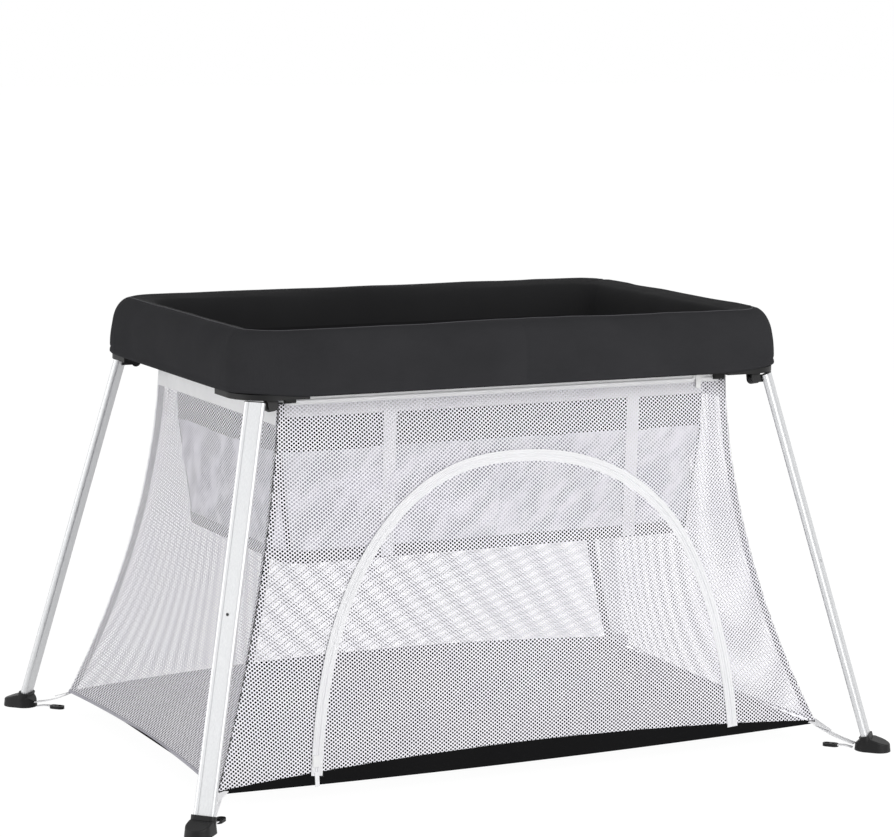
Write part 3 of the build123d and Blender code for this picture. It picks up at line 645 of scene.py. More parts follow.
# %% [markdown]
# A narrow piping is sewn along the crest of the rail, where the outer panel meets the inner side.
# It is a real raised cord, drawn in a lighter grey than the canvas: a painted highlight for the
# thin pale line along the crest. A small round section is carried along the same oblong.

# %% Rail piping
PIPING_RADIUS = 0.7


def tube_round(ring, radius, steps=8):
    """A round tube about a closed ring (n, 3): centre + radius * (cos a * side + sin a * up)."""
    ahead = unit(np.roll(ring, -1, axis=0) - np.roll(ring, 1, axis=0))
    side = unit(np.cross(ahead, [0, 0, 1.0]))
    lift = np.cross(side, ahead)
    angle = np.arange(steps) / steps * 2 * math.pi
    return ring + radius * (np.cos(angle)[:, None, None] * side + np.sin(angle)[:, None, None] * lift)


crest_ring = sleeve[crest] + [0.0, 0.0, 0.3]
piping = tube_round(crest_ring, PIPING_RADIUS)
rail_piping = turn_outward(sheet_piece("rail_piping", piping, piping_painted_highlight, closed=True))
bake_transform(rail_piping)
print("piping", len(crest_ring))

# %% [markdown]
# ## The mesh tent
# The walls are held at the rail and at the corners of the floor, so each one is drawn in
# between, as stretched cloth is. A wall is a surface over two lengths: one across the wall and
# one up the cloth. The net's holes stand in staggered rows, so the cloth is made of diamond
# cells, each with a round hole cut by eight points. Cells at an edge are pulled in to it.

# %% Shape of the walls
TENT_SAG_X, TENT_SAG_Y = 24.0, 19.0
END_BOW = 18.0
APRON_RISE = 20.0
GATHER, GATHER_STEP, GATHER_REACH = 1.6, 23.0, 38.0
FRONT_BULGE = 32.0


def drop_share(z):
    """0 at the top of the tent and 1 at its floor."""
    return (TENT_TOP_Z - z) / (TENT_TOP_Z - TENT_FLOOR_Z)


def half_width(z):
    """Half width at height z: a straight flare less a parabola."""
    share = drop_share(z)
    return TENT_TOP_Y + (TENT_FLOOR_Y - TENT_TOP_Y) * share - 4 * TENT_SAG_Y * share * (1 - share)


def half_length(z, y=None):
    """Half length at height z, drawn in again towards the middle of the floor's edge."""
    share = drop_share(z)
    reach = TENT_TOP_X + (TENT_FLOOR_X - TENT_TOP_X) * share - 4 * TENT_SAG_X * share * (1 - share)
    if y is None:
        return reach
    return reach - END_BOW * share**2 * (1 - (y / half_width(z)) ** 2)


def apron_top(x):
    """Height of the arched hem where the front and back nets meet the black floor."""
    return TENT_FLOOR_Z + APRON_RISE * (1 - (x / TENT_FLOOR_X) ** 2)


heights = np.linspace(TENT_FLOOR_Z - 4, TENT_TOP_Z, 500)
up_front = lengths(np.column_stack([half_width(heights), heights]))
up_end = lengths(np.column_stack([half_length(heights), heights]))


def gathers(across, z):
    """Small upright gathers of the net just under its top band, in mm."""
    fade = np.exp(-(TENT_TOP_Z - z) / GATHER_REACH)
    return GATHER * fade * np.sin(2 * math.pi * across / GATHER_STEP + 1.7 * np.sin(across / 61.0))


def front_reach(x, z):
    """Distance of the front wall from the middle: the stiff arch pushes it out between its corners."""
    share = drop_share(z)
    return half_width(z) + 4 * FRONT_BULGE * share * (1 - share) * (1 - (x / half_length(z)) ** 4)


def wall_reach(way, x, z):
    """Distance of the front or the back wall from the middle."""
    return front_reach(x, z) if way < 0 else half_width(z)


def on_front(x, z, proud=0.0):
    """Point of the front wall, standing proud of it by some mm."""
    return surface(x, -front_reach(x, z) - proud, z)


print("cloth up the front", round(up_front[-1]), "up the ends", round(up_end[-1]))

# %% Net with holes
HOLE_PITCH, ROW_STEP, HOLE_RADIUS = 6.8, 2.7, 1.62


def net_piece(name, sign, reach, up, inside, pull_in, place, flip=False):
    """One side of a net panel, from its middle out to its reach, of diamond cells with holes.

    Centres lie at (i * pitch + half a pitch in odd rows, j * step). A cell's corners are half a
    pitch to each side and one step up and down, and are shared with its neighbours. Its hole has
    eight points on a circle. up is the length of cloth up to each of the heights. inside picks
    cells by (across, z), pull_in brings points to the panel's edge, and place puts them in space.
    """
    low, high = sorted((0, sign * reach))
    columns = np.arange(math.floor(low / HOLE_PITCH) - 1, math.ceil(high / HOLE_PITCH) + 2)
    rows = np.arange(-1, math.ceil(up[-1] / ROW_STEP) + 2)
    j, i = np.meshgrid(rows, columns, indexing="ij")
    across, upward = (i + 0.5 * (j % 2)) * HOLE_PITCH, j * ROW_STEP
    keep = ((across < 0) == (sign < 0)) & (upward > 0) & (upward < up[-1])
    keep &= inside(across, np.interp(upward, up, heights))
    centres = np.stack([across[keep], upward[keep]], axis=-1)
    step = np.array([HOLE_PITCH / 2, ROW_STEP])
    corners = centres[:, None] + np.array([[1, 0], [0, 1], [-1, 0], [0, -1]]) * step
    steps = np.rint(corners / step).astype(int).reshape(-1, 2)
    lattice, index = np.unique(steps, axis=0, return_inverse=True)
    angle = np.arange(8) * math.pi / 4
    rims = centres[:, None] + HOLE_RADIUS * np.stack([np.cos(angle), np.sin(angle)], axis=-1)
    flat = np.concatenate([lattice * step, rims.reshape(-1, 2)])
    across, z = pull_in(flat[:, 0], np.interp(flat[:, 1], up, heights))
    corner = index.reshape(-1, 4).T
    rim = len(lattice) + np.arange(len(centres) * 8).reshape(-1, 8).T
    faces = np.concatenate([
        np.column_stack([corner[k], corner[(k + 1) % 4], rim[(2 * k + 2) % 8], rim[2 * k + 1], rim[2 * k]])
        for k in range(4)
    ])
    if flip:
        faces = faces[:, ::-1]
    print(name, "holes", len(centres))
    uv = np.column_stack([across, np.interp(z, heights, up)])
    return new_piece(name, place(across, z), [faces], knit_net, uv)


def hang(piece, body, *nodes, slot="white_mesh"):
    """Rides on a body and stands for its solids."""
    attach(piece, body)
    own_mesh(piece)
    if nodes:
        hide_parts(*nodes)
    return piece


def panel_area(width, up):
    """Flat area of a panel in square mm: its width at each height, added up along the cloth."""
    return float(np.sum((width[1:] + width[:-1]) / 2 * np.diff(up)))


# %% [markdown]
# The door is an arch in the front wall, closed by a zip. Its outline is a superellipse, fuller
# than an ellipse, that leans a little to the right and has a slight waist. The same function
# says how far a point of the wall is from that outline, so the wall keeps the cells outside it
# and the door those inside.

# %% Front, back and door nets
DOOR_HALF = 338.0
DOOR_TOP = 461.0
DOOR_FULLNESS = 2.25
DOOR_LEAN = 14.0
DOOR_WAIST = 8.0
WALL_AREA = panel_area(half_length(heights), up_front)
END_AREA = panel_area(half_width(heights), up_end)


def arch_rise(z):
    """0 at the foot of the arch and 1 at its top."""
    return np.clip((z - TENT_FLOOR_Z) / (DOOR_TOP - TENT_FLOOR_Z), 0, 1)


def arch_lean(z):
    """How far the sewn-in arch leans to the right, most at its shoulders."""
    rise = arch_rise(z)
    return DOOR_LEAN * rise**1.2 * (1 - rise**10)


def arch_half(z):
    """Half width that the arch is drawn from, a little less at half its height."""
    rise = arch_rise(z)
    return DOOR_HALF - 4 * DOOR_WAIST * rise * (1 - rise)


def arch_share(x, z):
    """1 on the door's outline, less inside: (|x / half| ** n + (rise share) ** n) ** (1 / n)."""
    rise = np.maximum(z - TENT_FLOOR_Z, 0) / (DOOR_TOP - TENT_FLOOR_Z)
    across = np.abs(x - arch_lean(z)) / arch_half(z)
    return (across**DOOR_FULLNESS + rise**DOOR_FULLNESS) ** (1 / DOOR_FULLNESS)


def front_net(end, side, part):
    """One half of the front wall, of the back wall or of the door."""
    way = ENDS[end]

    def inside(x, z):
        keep = (np.abs(x) < half_length(z)) & (z > apron_top(x))
        if part == "door":
            keep &= arch_share(x, z) < 1
        elif part == "wall":
            keep &= arch_share(x, z) >= 1
        return keep

    def pull_in(x, z):
        if part != "plain":
            share = np.maximum(arch_share(x, z), 0.05)
            out = share > 1 if part == "door" else share < 1
            level = np.where(out, TENT_FLOOR_Z + (z - TENT_FLOOR_Z) / share, z)
            across = (x - arch_lean(z)) / arch_half(z) / share
            x = np.where(out, across * arch_half(level) + arch_lean(level), x)
            z = level
        x = np.clip(x, -half_length(z), half_length(z))
        return x, np.clip(z, apron_top(x), TENT_TOP_Z)

    def place(x, z):
        return surface(x, way * (wall_reach(way, x, z) + gathers(x, z) * 0.5), z)

    name = {"door": "door_net", "wall": "front_net", "plain": "back_net"}[part] + f"_{side}"
    return net_piece(name, SIDES[side], TENT_FLOOR_X, up_front, inside, pull_in, place, flip=way > 0)


for side in SIDES:
    wall = hang(front_net("front", side, "wall"), f"{side}_half", f"tent_front_{side}")
    door = hang(front_net("front", side, "door"), f"door_{side}", f"door_panel_{side}")
    back = hang(front_net("back", side, "plain"), f"{side}_half", f"tent_back_{side}")


# %% End nets
def end_net(side, end):
    """Half of the wall at one end, from its middle to a corner seam."""
    sign = SIDES[side]

    def inside(y, z):
        return (np.abs(y) < half_width(z)) & (z > TENT_FLOOR_Z)

    def pull_in(y, z):
        z = np.clip(z, TENT_FLOOR_Z, TENT_TOP_Z)
        return np.clip(y, -half_width(z), half_width(z)), z

    def place(y, z):
        return surface(sign * (half_length(z, y) + gathers(y, z)), y, z)

    name = f"end_net_{side}_{end}"
    return net_piece(name, ENDS[end], TENT_FLOOR_Y, up_end, inside, pull_in, place, flip=sign < 0)


for side in SIDES:
    for end in ENDS:
        panel = hang(end_net(side, end), f"{side}_half", f"tent_end_{side}")

# %% [markdown]
# ## Seams and tapes
# The net is too open to hold a stitch at its edge, so every edge is bound with tape. A tape is a
# narrow strip: a line on the wall, and a width across it. Black binding lies inside the four
# corner seams, where it shows through the net as a dark line.

# %% Strips of tape
def strip(name, line, across, profile, material, thickness=1.0):
    """A tape along a line (n, 3): line + offset * across + lift * out, for each (offset, lift).

    across is one direction, or one per point; out stands square to it and to the line.
    """
    across = unit(np.broadcast_to(np.asarray(across, float), line.shape))
    out = np.cross(across, unit(np.gradient(line, axis=0)))
    offset, lift = np.asarray(profile, float).T[..., None, None]
    return thicken(sheet_piece(name, line + offset * across + lift * out, material), thickness)


BINDING, BINDING_INSET = 9.0, 2.0
BINDING_PROFILE = [(0, 0), (BINDING / 2, 0), (BINDING, 0)]
z = np.linspace(TENT_FLOOR_Z + 2, TENT_TOP_Z, 60)
for side, sign in SIDES.items():
    strips = []
    for end, way in ENDS.items():
        seam = surface(sign * (half_length(z) - BINDING_INSET), way * (half_width(z) - BINDING_INSET), z)
        for axis, inward in {"x": (-sign, 0, 0), "y": (0, -way, 0)}.items():
            strips.append(strip(f"binding_{axis}_{end}", seam, inward, BINDING_PROFILE, black_binding))
    hang(join(strips, f"corner_binding_{side}"), f"{side}_half", slot="black_fabric")
print("corner bindings", BINDING)

# %% [markdown]
# The zip under the rail runs all round the top of the tent: a white tape with a raised coil
# along its middle. At the two ends it is backed by a deeper white band.

# %% Tape under the rail
TAPE_CORNER = 24.0
TAPE_PROUD, BAND_PROUD = 0.6, 1.0
TAPE_DROP, BAND_DROP = 16.5, 45.0
TAPE_THICKNESS = 0.9
ZIP_PROFILE = [
    (0, 0.2), (8.6, 0.3), (9.2, -0.2), (9.8, 0.9), (11.2, 1.7),
    (12.6, 0.9), (13.2, -0.2), (13.8, 0.3), (TAPE_DROP, 0.1),
]
ring = oblong(TENT_TOP_X + TAPE_PROUD, TENT_TOP_Y + TAPE_PROUD, TAPE_CORNER)
for side, sign in SIDES.items():
    half = half_of(ring, sign)[0]
    line = surface(half[:, 0], half[:, 1], RAIL_BOTTOM - 1.0)
    tape = strip(f"rail_zip_tape_{side}", line, (0, 0, -1), ZIP_PROFILE, zip_tape, TAPE_THICKNESS)
    y = np.linspace(-1, 1, 90) * (TENT_TOP_Y - 3.0)
    z = RAIL_BOTTOM - np.linspace(0, BAND_DROP, 8)[:, None]
    band = surface(sign * (half_length(z, y) + gathers(y, z) + BAND_PROUD), y, z)
    band = thicken(sheet_piece(f"band_{side}", band, zip_tape, flip=sign > 0), TAPE_THICKNESS)
    tape = join([tape, band], f"rail_zip_tape_{side}")
    hang(tape, f"{side}_half", f"top_tape_{side}", slot="white_tape")
print("tape under the rail", ring.shape)

# %% [markdown]
# The door's zip follows the arch. Its inner tape is sewn to the door and its outer tape to the
# wall, so each is a piece of its own, and they part when the door opens. The coil rides with the
# door. A grey thread in a groove on each tape is its row of stitching, and a short white tab
# ends the zip at its left foot.

# %% Door zip
ARCH_PROUD, TAB_PROUD = 1.6, 2.2
TAPE_HALF, TAB_HALF = 8.5, 3.2
DOOR_TAPE_THICKNESS, THREAD_THICKNESS = 0.8, 0.3
SEWN_TAPE = [(1.6, 0.4), (2.2, 0.0), (2.8, 0.6), (5.0, 0.5), (5.5, 0.1), (6.0, 0.5), (TAPE_HALF, 0.2)]
STITCH_LINE = [(5.0, 0.9), (6.0, 0.9)]
COIL = [(-1.6, 0.0), (-0.9, 1.2), (0.0, 1.6), (0.9, 1.2), (1.6, 0.0)]
TAB = [(-TAB_HALF, 0), (0, 0.3), (TAB_HALF, 0)]
arch_angle = np.linspace(0.006, 1.0, 122) * math.pi / 2


def arch_line(sign, proud):
    """The door's outline from its foot up to the fold line, on the front wall."""
    z = TENT_FLOOR_Z + (DOOR_TOP - TENT_FLOOR_Z) * np.sin(arch_angle) ** (2 / DOOR_FULLNESS)
    x = sign * arch_half(z) * np.cos(arch_angle) ** (2 / DOOR_FULLNESS) + arch_lean(z)
    x[-1] = 0.0
    keep = z > apron_top(x) - 6
    return on_front(x[keep], z[keep], proud)


def arch_across(line, sign):
    """Directions across the arch, outward, within the wall."""
    ahead = np.gradient(line, axis=0)
    ahead[-1] = [-sign, 0.0, 0.0]
    facing = np.tile([0.0, -1.0, 0.0], (len(line), 1))
    return unit(np.cross(ahead, facing) * sign)


def arch_strip(name, sign, way, profile, material, thickness=DOOR_TAPE_THICKNESS):
    """A tape along one half of the arch, on its outer side (way 1) or its inner side (way -1)."""
    line = arch_line(sign, ARCH_PROUD)
    profile = [(way * offset, -sign * lift) for offset, lift in profile]
    return strip(name, line, arch_across(line, sign), profile, material, thickness)


for side, sign in SIDES.items():
    outer = [
        arch_strip(f"door_wall_tape_{side}", sign, 1, SEWN_TAPE, door_zip_tape),
        arch_strip("wall_thread", sign, 1, STITCH_LINE, stitching, THREAD_THICKNESS),
    ]
    if side == "left":
        foot = arch_line(sign, ARCH_PROUD)[0, 0]
        z = np.linspace(apron_top(foot) + 2, TENT_FLOOR_Z - 8, 8)
        tab = on_front(np.full_like(z, foot), z, TAB_PROUD)
        outer.append(strip("zip_tab", tab, (1, 0, 0), TAB, zip_tape))
    hang(join(outer, f"door_wall_tape_{side}"), f"{side}_half", slot="white_tape")
    inner = [
        arch_strip(f"door_tape_inner_{side}", sign, -1, SEWN_TAPE, door_zip_tape),
        arch_strip(f"door_coil_{side}", sign, 1, COIL, door_zip_tape),
        arch_strip("door_thread", sign, -1, STITCH_LINE, stitching, THREAD_THICKNESS),
    ]
    hang(join(inner, f"door_zip_{side}"), f"door_{side}", f"door_tape_{side}", slot="white_tape")
print("arch", len(arch_angle))

# %% [markdown]
# ## The floor
# The floor is coated black cloth. Its front and back edges rise in a low apron that the net is
# sewn to. Its front edge sags between the corners, and its ends are drawn in a little, as the
# end walls are, under a narrow grey hem.

# %% Floor cloth
FLOOR_CLOTH = 3.0
FLOOR_SAG = 6.0
END_INSET = 5.0
HEM, HEM_PROUD, HEM_THICKNESS = 4.0, 0.8, 0.8


def floor_sag(x):
    """How far the front edge of the floor hangs down between its corners."""
    return FLOOR_SAG * (1 - (x / TENT_FLOOR_X) ** 2)


for side, sign in SIDES.items():
    sx, sy = np.meshgrid(np.linspace(0, 1, 60), np.linspace(-1, 1, 61))
    y = sy * (TENT_FLOOR_Y - 1.0)
    x = sign * sx * (half_length(TENT_FLOOR_Z, y) - END_INSET)
    z = TENT_FLOOR_Z - 1.5 + 0.5 * soft_noise(sx, (sy + 1) / 2, 21, 7, 6) * (1 - sx) * (1 - sy**2)
    z = z - floor_sag(x) * np.clip(-sy, 0, 1) ** 4
    parts = [sheet_piece(f"floor_{side}", surface(x, y, z), floor_canvas, flip=sign < 0)]
    for end, way in ENDS.items():
        x = sign * np.linspace(0, 1, 80) * (half_length(TENT_FLOOR_Z) - 1.5)
        foot = TENT_FLOOR_Z - FLOOR_CLOTH - (floor_sag(x) if way < 0 else 0.0)
        z = foot + np.linspace(0, 1, 5)[:, None] * (apron_top(x) + 1.0 - foot)
        apron = surface(x, way * (wall_reach(way, x, z) + 0.3), z)
        parts.append(sheet_piece(f"apron_{end}", apron, floor_canvas, flip=sign * way > 0))
    floor = join(parts, f"floor_cloth_{side}")
    hang(floor, f"{side}_half", f"tent_floor_{side}", slot="black_fabric")
    y = np.linspace(-1, 1, 80) * (TENT_FLOOR_Y - 3.0)
    z = TENT_FLOOR_Z + np.array([0.0, HEM / 2, HEM])[:, None]
    hem = surface(sign * (half_length(z, y) + HEM_PROUD), y, z)
    hem = thicken(sheet_piece(f"end_hem_{side}", hem, hem_tape, flip=sign < 0), HEM_THICKNESS)
    hang(hem, f"{side}_half", slot="white_mesh")
print("floor", TENT_FLOOR_X, TENT_FLOOR_Y)

# %% [markdown]
# A thin padded mat lies on the floor. It folds where the frame does, so it is two pads that meet
# at the fold. A pad is crowned: its height falls from the middle to a sewn edge.

# %% Floor mat
MAT_CORNER, MAT_CHANNEL, MAT_CHANNEL_STEP = 30.0, 2.0, 235.0
CHANNEL_WIDTH = 5.0
mat_low, mat_high = box_mm("mattress_left")


def pad(name, half_x, half_y, corner, base, rise, sign, channel, channel_step, material):
    """A closed pad on one side of the fold: the upper face crowned, the lower face flat.

    Height = rise * sqrt(1 - edge), where edge grows from 0 in the middle to 1 at the sides, less
    the channels, which are grooves sewn across the length.
    """
    su, sv = np.meshgrid(np.linspace(0, 1, 70), np.linspace(-1, 1, 90))
    into_corner = np.clip(np.abs(sv) * half_y - half_y + corner, 0, corner)
    x = sign * su * (half_x - corner + np.sqrt(corner**2 - into_corner**2))
    y = sv * half_y
    edge = np.maximum(su**8, np.abs(sv) ** 10)
    from_channel = np.mod(np.abs(x), channel_step) - channel_step / 2
    groove = channel * bell(from_channel, CHANNEL_WIDTH)
    top = surface(x, y, base + np.maximum(rise * (1 - edge) ** 0.5 - groove * (1 - edge), 0))
    bottom = surface(x, y, base)
    rows, columns = x.shape
    count = rows * columns
    upper = grid_faces(rows, columns)
    border = np.concatenate([
        np.arange(columns), np.arange(1, rows) * columns + columns - 1,
        (rows - 1) * columns + np.arange(columns - 2, -1, -1), np.arange(rows - 2, 0, -1) * columns,
    ])
    after = np.roll(border, -1)
    rim = np.stack([after, border, border + count, after + count], axis=-1)
    points = np.concatenate([top.reshape(-1, 3), bottom.reshape(-1, 3)])
    uv = np.concatenate([grid_uv(top), grid_uv(bottom)])
    return turn_outward(new_piece(name, points, [upper, upper[:, ::-1] + count, rim], material, uv))


for side, sign in SIDES.items():
    mat = pad(
        f"floor_mat_{side}", -mat_low[0], -mat_low[1], MAT_CORNER, mat_low[2], mat_high[2] - mat_low[2],
        sign, MAT_CHANNEL, MAT_CHANNEL_STEP, floor_canvas,
    )
    hang(mat, f"{side}_half", f"mattress_{side}", slot="black_fabric")
print("mat", mat_low, mat_high)

# %% [markdown]
# ## The bassinet insert
# The insert hangs from the rail by a black skirt. Below the skirt its walls are white lining
# cloth, slack enough to crease, narrowing to a firm floor. The walls are rings of cloth: a
# rounded oblong at each height, moved in and out by soft noise that leans across the wall, which
# is how such creases run; they fade out where the cloth is bound. The lining's colour is drawn
# grey, with darker leaning streaks: painted shade inside the tent and in the creases. A white
# strip runs round the skirt, white webbing bands go down both long walls, and black binding covers
# the wall's lower edge and corners; the black band at the lower edge is drawn deeper than the
# binding, as painted shade at the foot of the wall.

# %% Insert walls
SKIRT_X, SKIRT_Y = -skirt_low[0], -skirt_low[1]
WALL_X, WALL_Y = -wall_low[0], -wall_low[1]
SKIRT_TOP, SKIRT_BOTTOM = skirt_high[2], wall_high[2]
INSERT_FLOOR = wall_low[2]
WALL_TAPER = math.tan(math.radians(7.5))
INSERT_CORNER = 38.0
LONG_WALL_DRAW = 0.3
CREASE_LEAN = 0.045
BOUND_SHARE, FADE_SHARE = 0.9, 0.2
SKIRT_CREASE, WALL_CREASE = 1.2, 7.5


def insert_ring(z):
    """Half length, half width and corner radius of the insert at each height."""
    z = np.asarray(z, float)
    skirt = np.clip((z - SKIRT_BOTTOM) / (SKIRT_TOP - SKIRT_BOTTOM), 0, 1)
    drop = np.clip(SKIRT_BOTTOM - z, 0, None) * WALL_TAPER
    half_x = WALL_X + (SKIRT_X - WALL_X) * skirt - drop
    half_y = WALL_Y + (SKIRT_Y - WALL_Y) * skirt - LONG_WALL_DRAW * drop
    return half_x, half_y, np.full_like(z, INSERT_CORNER)


def insert_rings(z, proud=0.0):
    """Rings of the insert at heights z, standing proud of its wall by some mm."""
    half_x, half_y, corner = insert_ring(z)
    flat = oblong(half_x + proud, half_y + proud, corner, long_steps=200, short_steps=110, corner_steps=16)
    return surface(flat[..., 0], flat[..., 1], np.asarray(z)[:, None])


def insert_wall(z, crease, seed):
    """Grid of an insert wall: rings at heights z, creased by leaning soft noise."""
    rings = insert_rings(z)
    count, around = rings.shape[:2]
    share = np.linspace(0, 1, count)[:, None] * np.ones((1, around))
    place = (np.arange(around) + 0.5) / around * np.ones((count, 1))
    lean = np.mod(place + CREASE_LEAN * share, 1.0)
    slack = soft_noise(lean, share, seed, 46, 3, True) + 0.5 * soft_noise(lean, share, seed + 1, 92, 5, True)
    slack *= crease * np.sin(math.pi * np.clip(share, 0.02, 0.98)) ** 0.7
    slack *= np.clip((BOUND_SHARE - share) / FADE_SHARE, 0, 1)
    rings[..., :2] += outward(rings[..., :2]) * slack[..., None]
    return rings


skirt = insert_wall(np.linspace(SKIRT_TOP, SKIRT_BOTTOM - 2, 26), SKIRT_CREASE, 31)
wall = insert_wall(np.linspace(SKIRT_BOTTOM, INSERT_FLOOR, 40), WALL_CREASE, 41)
for side, sign in SIDES.items():
    body = f"bassinet_{side}"
    skirt_half = sheet_piece(f"insert_skirt_{side}", half_of(skirt, sign), skirt_canvas, flip=True)
    hang(skirt_half, body, f"bassinet_skirt_{side}", slot="black_fabric")
    wall_half = sheet_piece(f"insert_wall_{side}", half_of(wall, sign), insert_cloth_painted_shade, flip=True)
    hang(wall_half, body, f"bassinet_wall_{side}", slot="pale_cloth")
print("insert", skirt.shape, wall.shape)

# %% Insert bands, binding and floor
BAND_X = {
    ("front", "left"): 178.0, ("front", "right"): 219.0, ("back", "left"): 200.0, ("back", "right"): 200.0,
}
BAND_HALF, BAND_TOP, BAND_OUT, BAND_THICKNESS = 10.0, 550.0, 3.4, 1.4
UPPER_TAPE, UPPER_OUT = (552.0, 528.0), 2.2
# The black band at the foot of the insert wall is part binding and part painted shade: it is drawn deeper than
# the binding alone.
EDGE_TAPE_AND_SHADE, EDGE_OUT, CORNER_OUT = 18.0, 1.8, 1.6
EDGE_THICKNESS = 1.2
CORNER_TAPE = [(-4, 0), (0, 0.3), (4, 0)]
PAD_CHANNEL, PAD_CHANNEL_STEP, PAD_RISE, PAD_GAP = 1.6, 110.0, 6.0, 0.3
board_low, board_high = box_mm("bassinet_board_left")
floor_x, floor_y, corner = insert_ring(board_low[2])
for side, sign in SIDES.items():
    body = f"bassinet_{side}"
    bands, edges = [], []
    z = np.linspace(BAND_TOP, INSERT_FLOOR + 2, 40)
    for end, way in ENDS.items():
        line = surface(sign * BAND_X[end, side], way * (insert_ring(z)[1] + BAND_OUT), z)
        crown = [(-BAND_HALF, 0), (2 - BAND_HALF, 0.2 * way), (BAND_HALF - 2, 0.2 * way), (BAND_HALF, 0)]
        bands.append(strip(f"band_{end}", line, (1, 0, 0), crown, webbing, BAND_THICKNESS))
    upper = half_of(insert_rings(np.linspace(*UPPER_TAPE, 4), UPPER_OUT), sign)
    bands.append(thicken(sheet_piece("upper_tape", upper, webbing), EDGE_THICKNESS))
    hang(join(bands, f"insert_bands_{side}"), body, f"bassinet_bands_{side}", slot="white_tape")
    # Black band at the foot of the insert wall: binding, drawn deeper as painted shade.
    low = half_of(insert_rings(INSERT_FLOOR + EDGE_TAPE_AND_SHADE * np.array([1.0, 0.5, 0.0]), EDGE_OUT), sign)
    edges.append(thicken(sheet_piece("lower_edge_and_shade", low, black_binding), EDGE_THICKNESS))
    z = np.linspace(SKIRT_BOTTOM, INSERT_FLOOR, 30)
    half_x, half_y, corner = insert_ring(z)
    cut = corner * (1 - math.sqrt(0.5)) - CORNER_OUT
    for end, way in ENDS.items():
        line = surface(sign * (half_x - cut), way * (half_y - cut), z)
        edges.append(strip(f"corner_{end}", line, (sign, -way, 0), CORNER_TAPE, black_binding, EDGE_THICKNESS))
    hang(join(edges, f"insert_binding_{side}"), body, slot="black_fabric")
    base = pad(
        f"insert_floor_{side}", float(floor_x) - PAD_GAP, float(floor_y) - PAD_GAP, INSERT_CORNER, board_low[2],
        board_high[2] - board_low[2] + PAD_RISE, sign, PAD_CHANNEL, PAD_CHANNEL_STEP, pad_cloth,
    )
    hang(base, body, f"bassinet_board_{side}", slot="board")
print("insert trimmed")

# %% [markdown]
# ## Ties and hooks
# White webbing runs from each corner of the tent to the foot. A short tail with a loose black
# ladder hook lies on the floor beside it. The small slider at the foot of the door's zip and the
# hooks are made again here, because they go with the cloth when the frame folds.

# %% Ties
TIE_HALF, TIE_SAG, TIE_THICKNESS = 6.0, 3.0, 1.4
PATCH_SHARE, PATCH_WIDTH, PATCH_END, PATCH_LIFT = 0.45, 11.0, 2.0, 1.2
TAIL_HALF, TAIL_LENGTH, TAIL_POINTS = 4.0, 34.0, 16
TAIL_HEIGHT, TAIL_RISE, TAIL_THICKNESS = 1.6, 2.2, 1.2
TIE = [(-TIE_HALF, 0), (0, 0.2), (TIE_HALF, 0)]
TAIL = [(-TAIL_HALF, 0), (0, 0.1), (TAIL_HALF, 0)]
for side, sign in SIDES.items():
    ties = []
    for end, way in ENDS.items():
        foot_low, foot_high = box_mm(f"foot_{end}_{side}")
        heel_x = foot_low[0] if sign > 0 else foot_high[0]
        heel_y = foot_low[1] if way > 0 else foot_high[1]
        heel = np.array([heel_x + sign * 5.0, heel_y + way * 5.0, 8.0])
        corner = np.array([sign * (TENT_FLOOR_X - 4), way * (TENT_FLOOR_Y - 4), TENT_FLOOR_Z - 1.0])
        run = heel - corner
        across = unit(np.array([-run[1], run[0], 0.0]))
        t = np.linspace(0, 1, 24)[:, None]
        line = corner + run * t - np.array([0, 0, TIE_SAG]) * np.sin(math.pi * t)
        ties.append(strip(f"tie_{end}", line, across, TIE, webbing, TIE_THICKNESS))
        share = np.linspace(0, 1, 10)[:, None]
        spread = across * ((1 - share) * PATCH_WIDTH + PATCH_END)
        middle = corner + run * PATCH_SHARE * share + np.array([0, 0, PATCH_LIFT])
        patch = np.stack([middle - spread, middle, middle + spread])
        ties.append(thicken(sheet_piece(f"patch_{end}", patch, webbing), TAIL_THICKNESS))
        inward = np.array([-sign, -way, 0.0]) / math.sqrt(2)
        start = np.array([heel_x + sign * 4.0, heel_y + way * 4.0, 0.0]) + inward
        tail = start + inward * np.linspace(0, TAIL_LENGTH, TAIL_POINTS)[:, None]
        tail[:, 2] = TAIL_HEIGHT + TAIL_RISE * np.sin(np.linspace(0, math.pi, TAIL_POINTS))
        ties.append(strip(f"tail_{end}", tail, (-inward[1], inward[0], 0), TAIL, webbing, TAIL_THICKNESS))
    hang(join(ties, f"corner_tie_{side}"), f"{side}_half", f"corner_ties_{side}", slot="white_tape")
print("ties", TIE_HALF * 2)


# %% Copies of small solids that go with the cloth
def carried_copy(node, name, body, slot):
    """A mesh copy of a small solid that rides on the same body as the cloth."""
    return hang(new_object(name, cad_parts[node].data.copy()), body, node, slot=slot)


for side in SIDES:
    carried_copy(f"tie_hooks_{side}", f"ladder_hooks_{side}", f"{side}_half", "black_plastic")
carried_copy("door_zip_slider", "door_slider", "door_left", "white_plastic")
print("copies made")

# %% [markdown]
# ## Studio
# The photograph shows the object on plain white with hardly any shadow. The floor is a large
# pale sheet. To the camera it is white and keeps a faint shadow; to the object it is a plain
# pale floor. Large soft lamps stand in front, above and to the left, and the world fills the
# rest.

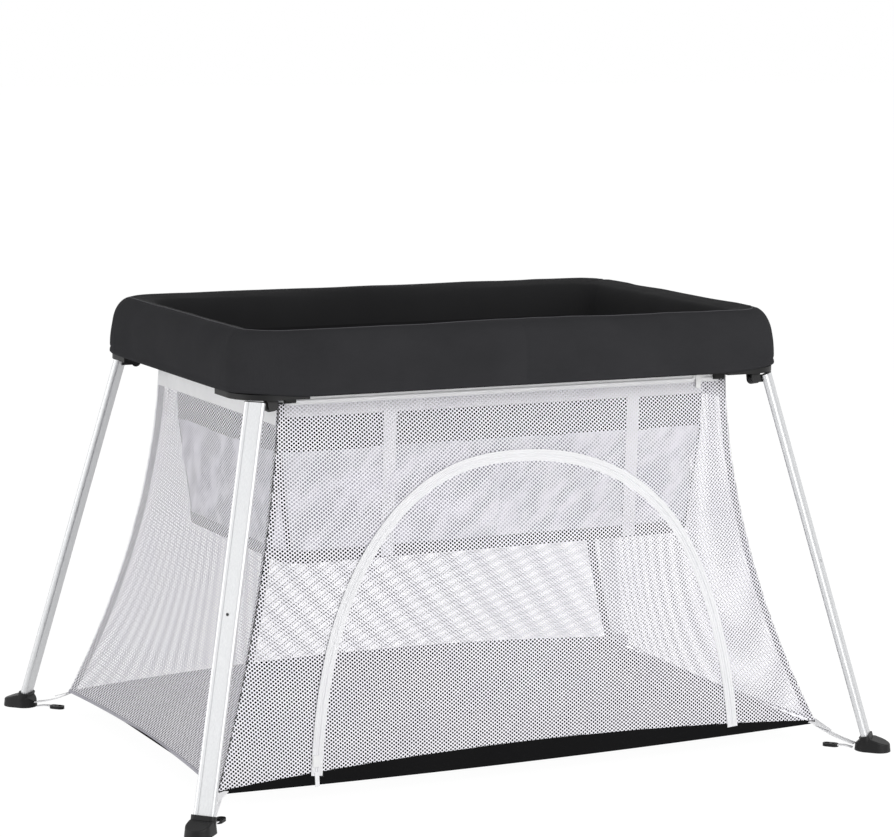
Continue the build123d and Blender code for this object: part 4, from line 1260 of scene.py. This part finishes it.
# %% Floor and lights
WHITE = (1, 1, 1, 1)
GLOW, WHITE_SHARE, FILL = 1.1, 0.88, 0.35
FLOOR_HALF, FLOOR_DROP = 30000.0, -0.4


def seen_by(tree, *kinds):
    """1 for rays of any of these kinds."""
    path = add(tree, "ShaderNodeLightPath", {})
    seen = path.outputs[f"Is {kinds[0]} Ray"]
    for kind in kinds[1:]:
        seen = calc(tree, "MAXIMUM", seen, path.outputs[f"Is {kind} Ray"])
    return seen


ground, tree, shader = new_material("studio floor")
feed(tree, shader, {"Base Color": linear("#F2F2F2"), "Roughness": 0.9, "Specular IOR Level": 0.1})
glow = add(tree, "ShaderNodeEmission", {"Color": WHITE, "Strength": GLOW})
share = calc(tree, "MULTIPLY", seen_by(tree, "Camera", "Glossy", "Transmission"), WHITE_SHARE)
blend = add(tree, "ShaderNodeMixShader", {0: share, 1: shader.outputs[0], 2: glow.outputs[0]})
feed(tree, tree.nodes["Material Output"], {"Surface": blend.outputs[0]})
ends = np.array([-FLOOR_HALF, FLOOR_HALF])
studio_floor = sheet_piece("studio_floor", surface(ends, ends[:, None], FLOOR_DROP), ground)
studio_floor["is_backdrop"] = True

world = bpy.data.worlds.new("studio")
bpy.context.scene.world = world
world.use_nodes = True
tree = world.node_tree
strength = ranged(tree, seen_by(tree, "Camera", "Glossy"), FILL, 1.0)
feed(tree, tree.nodes["Background"], {"Color": WHITE, "Strength": strength})


def softbox(name, at, aim, size, power):
    """A large square lamp at a place in mm, facing another."""
    lamp = bpy.data.lights.new(name, "AREA")
    lamp.size = size
    lamp.energy = power
    away = unit(np.array(at, float) - aim)
    level = unit(np.cross([0, 0, 1.0], away))
    stand(new_object(name, lamp), at, level, np.cross(away, level), away)


MIDDLE = (0, 0, 320)
softbox("front_softbox", (900, -3800, 1700), MIDDLE, 2.6, 104)
softbox("top_softbox", (0, 300, 3600), MIDDLE, 3.0, 12)
softbox("left_softbox", (-3600, 200, 900), MIDDLE, 2.2, 50)


bpy.context.scene.view_settings.view_transform = "Standard"
print("studio ready")

# %% Sizes
low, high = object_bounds()
print("visual box", list(low), list(high))
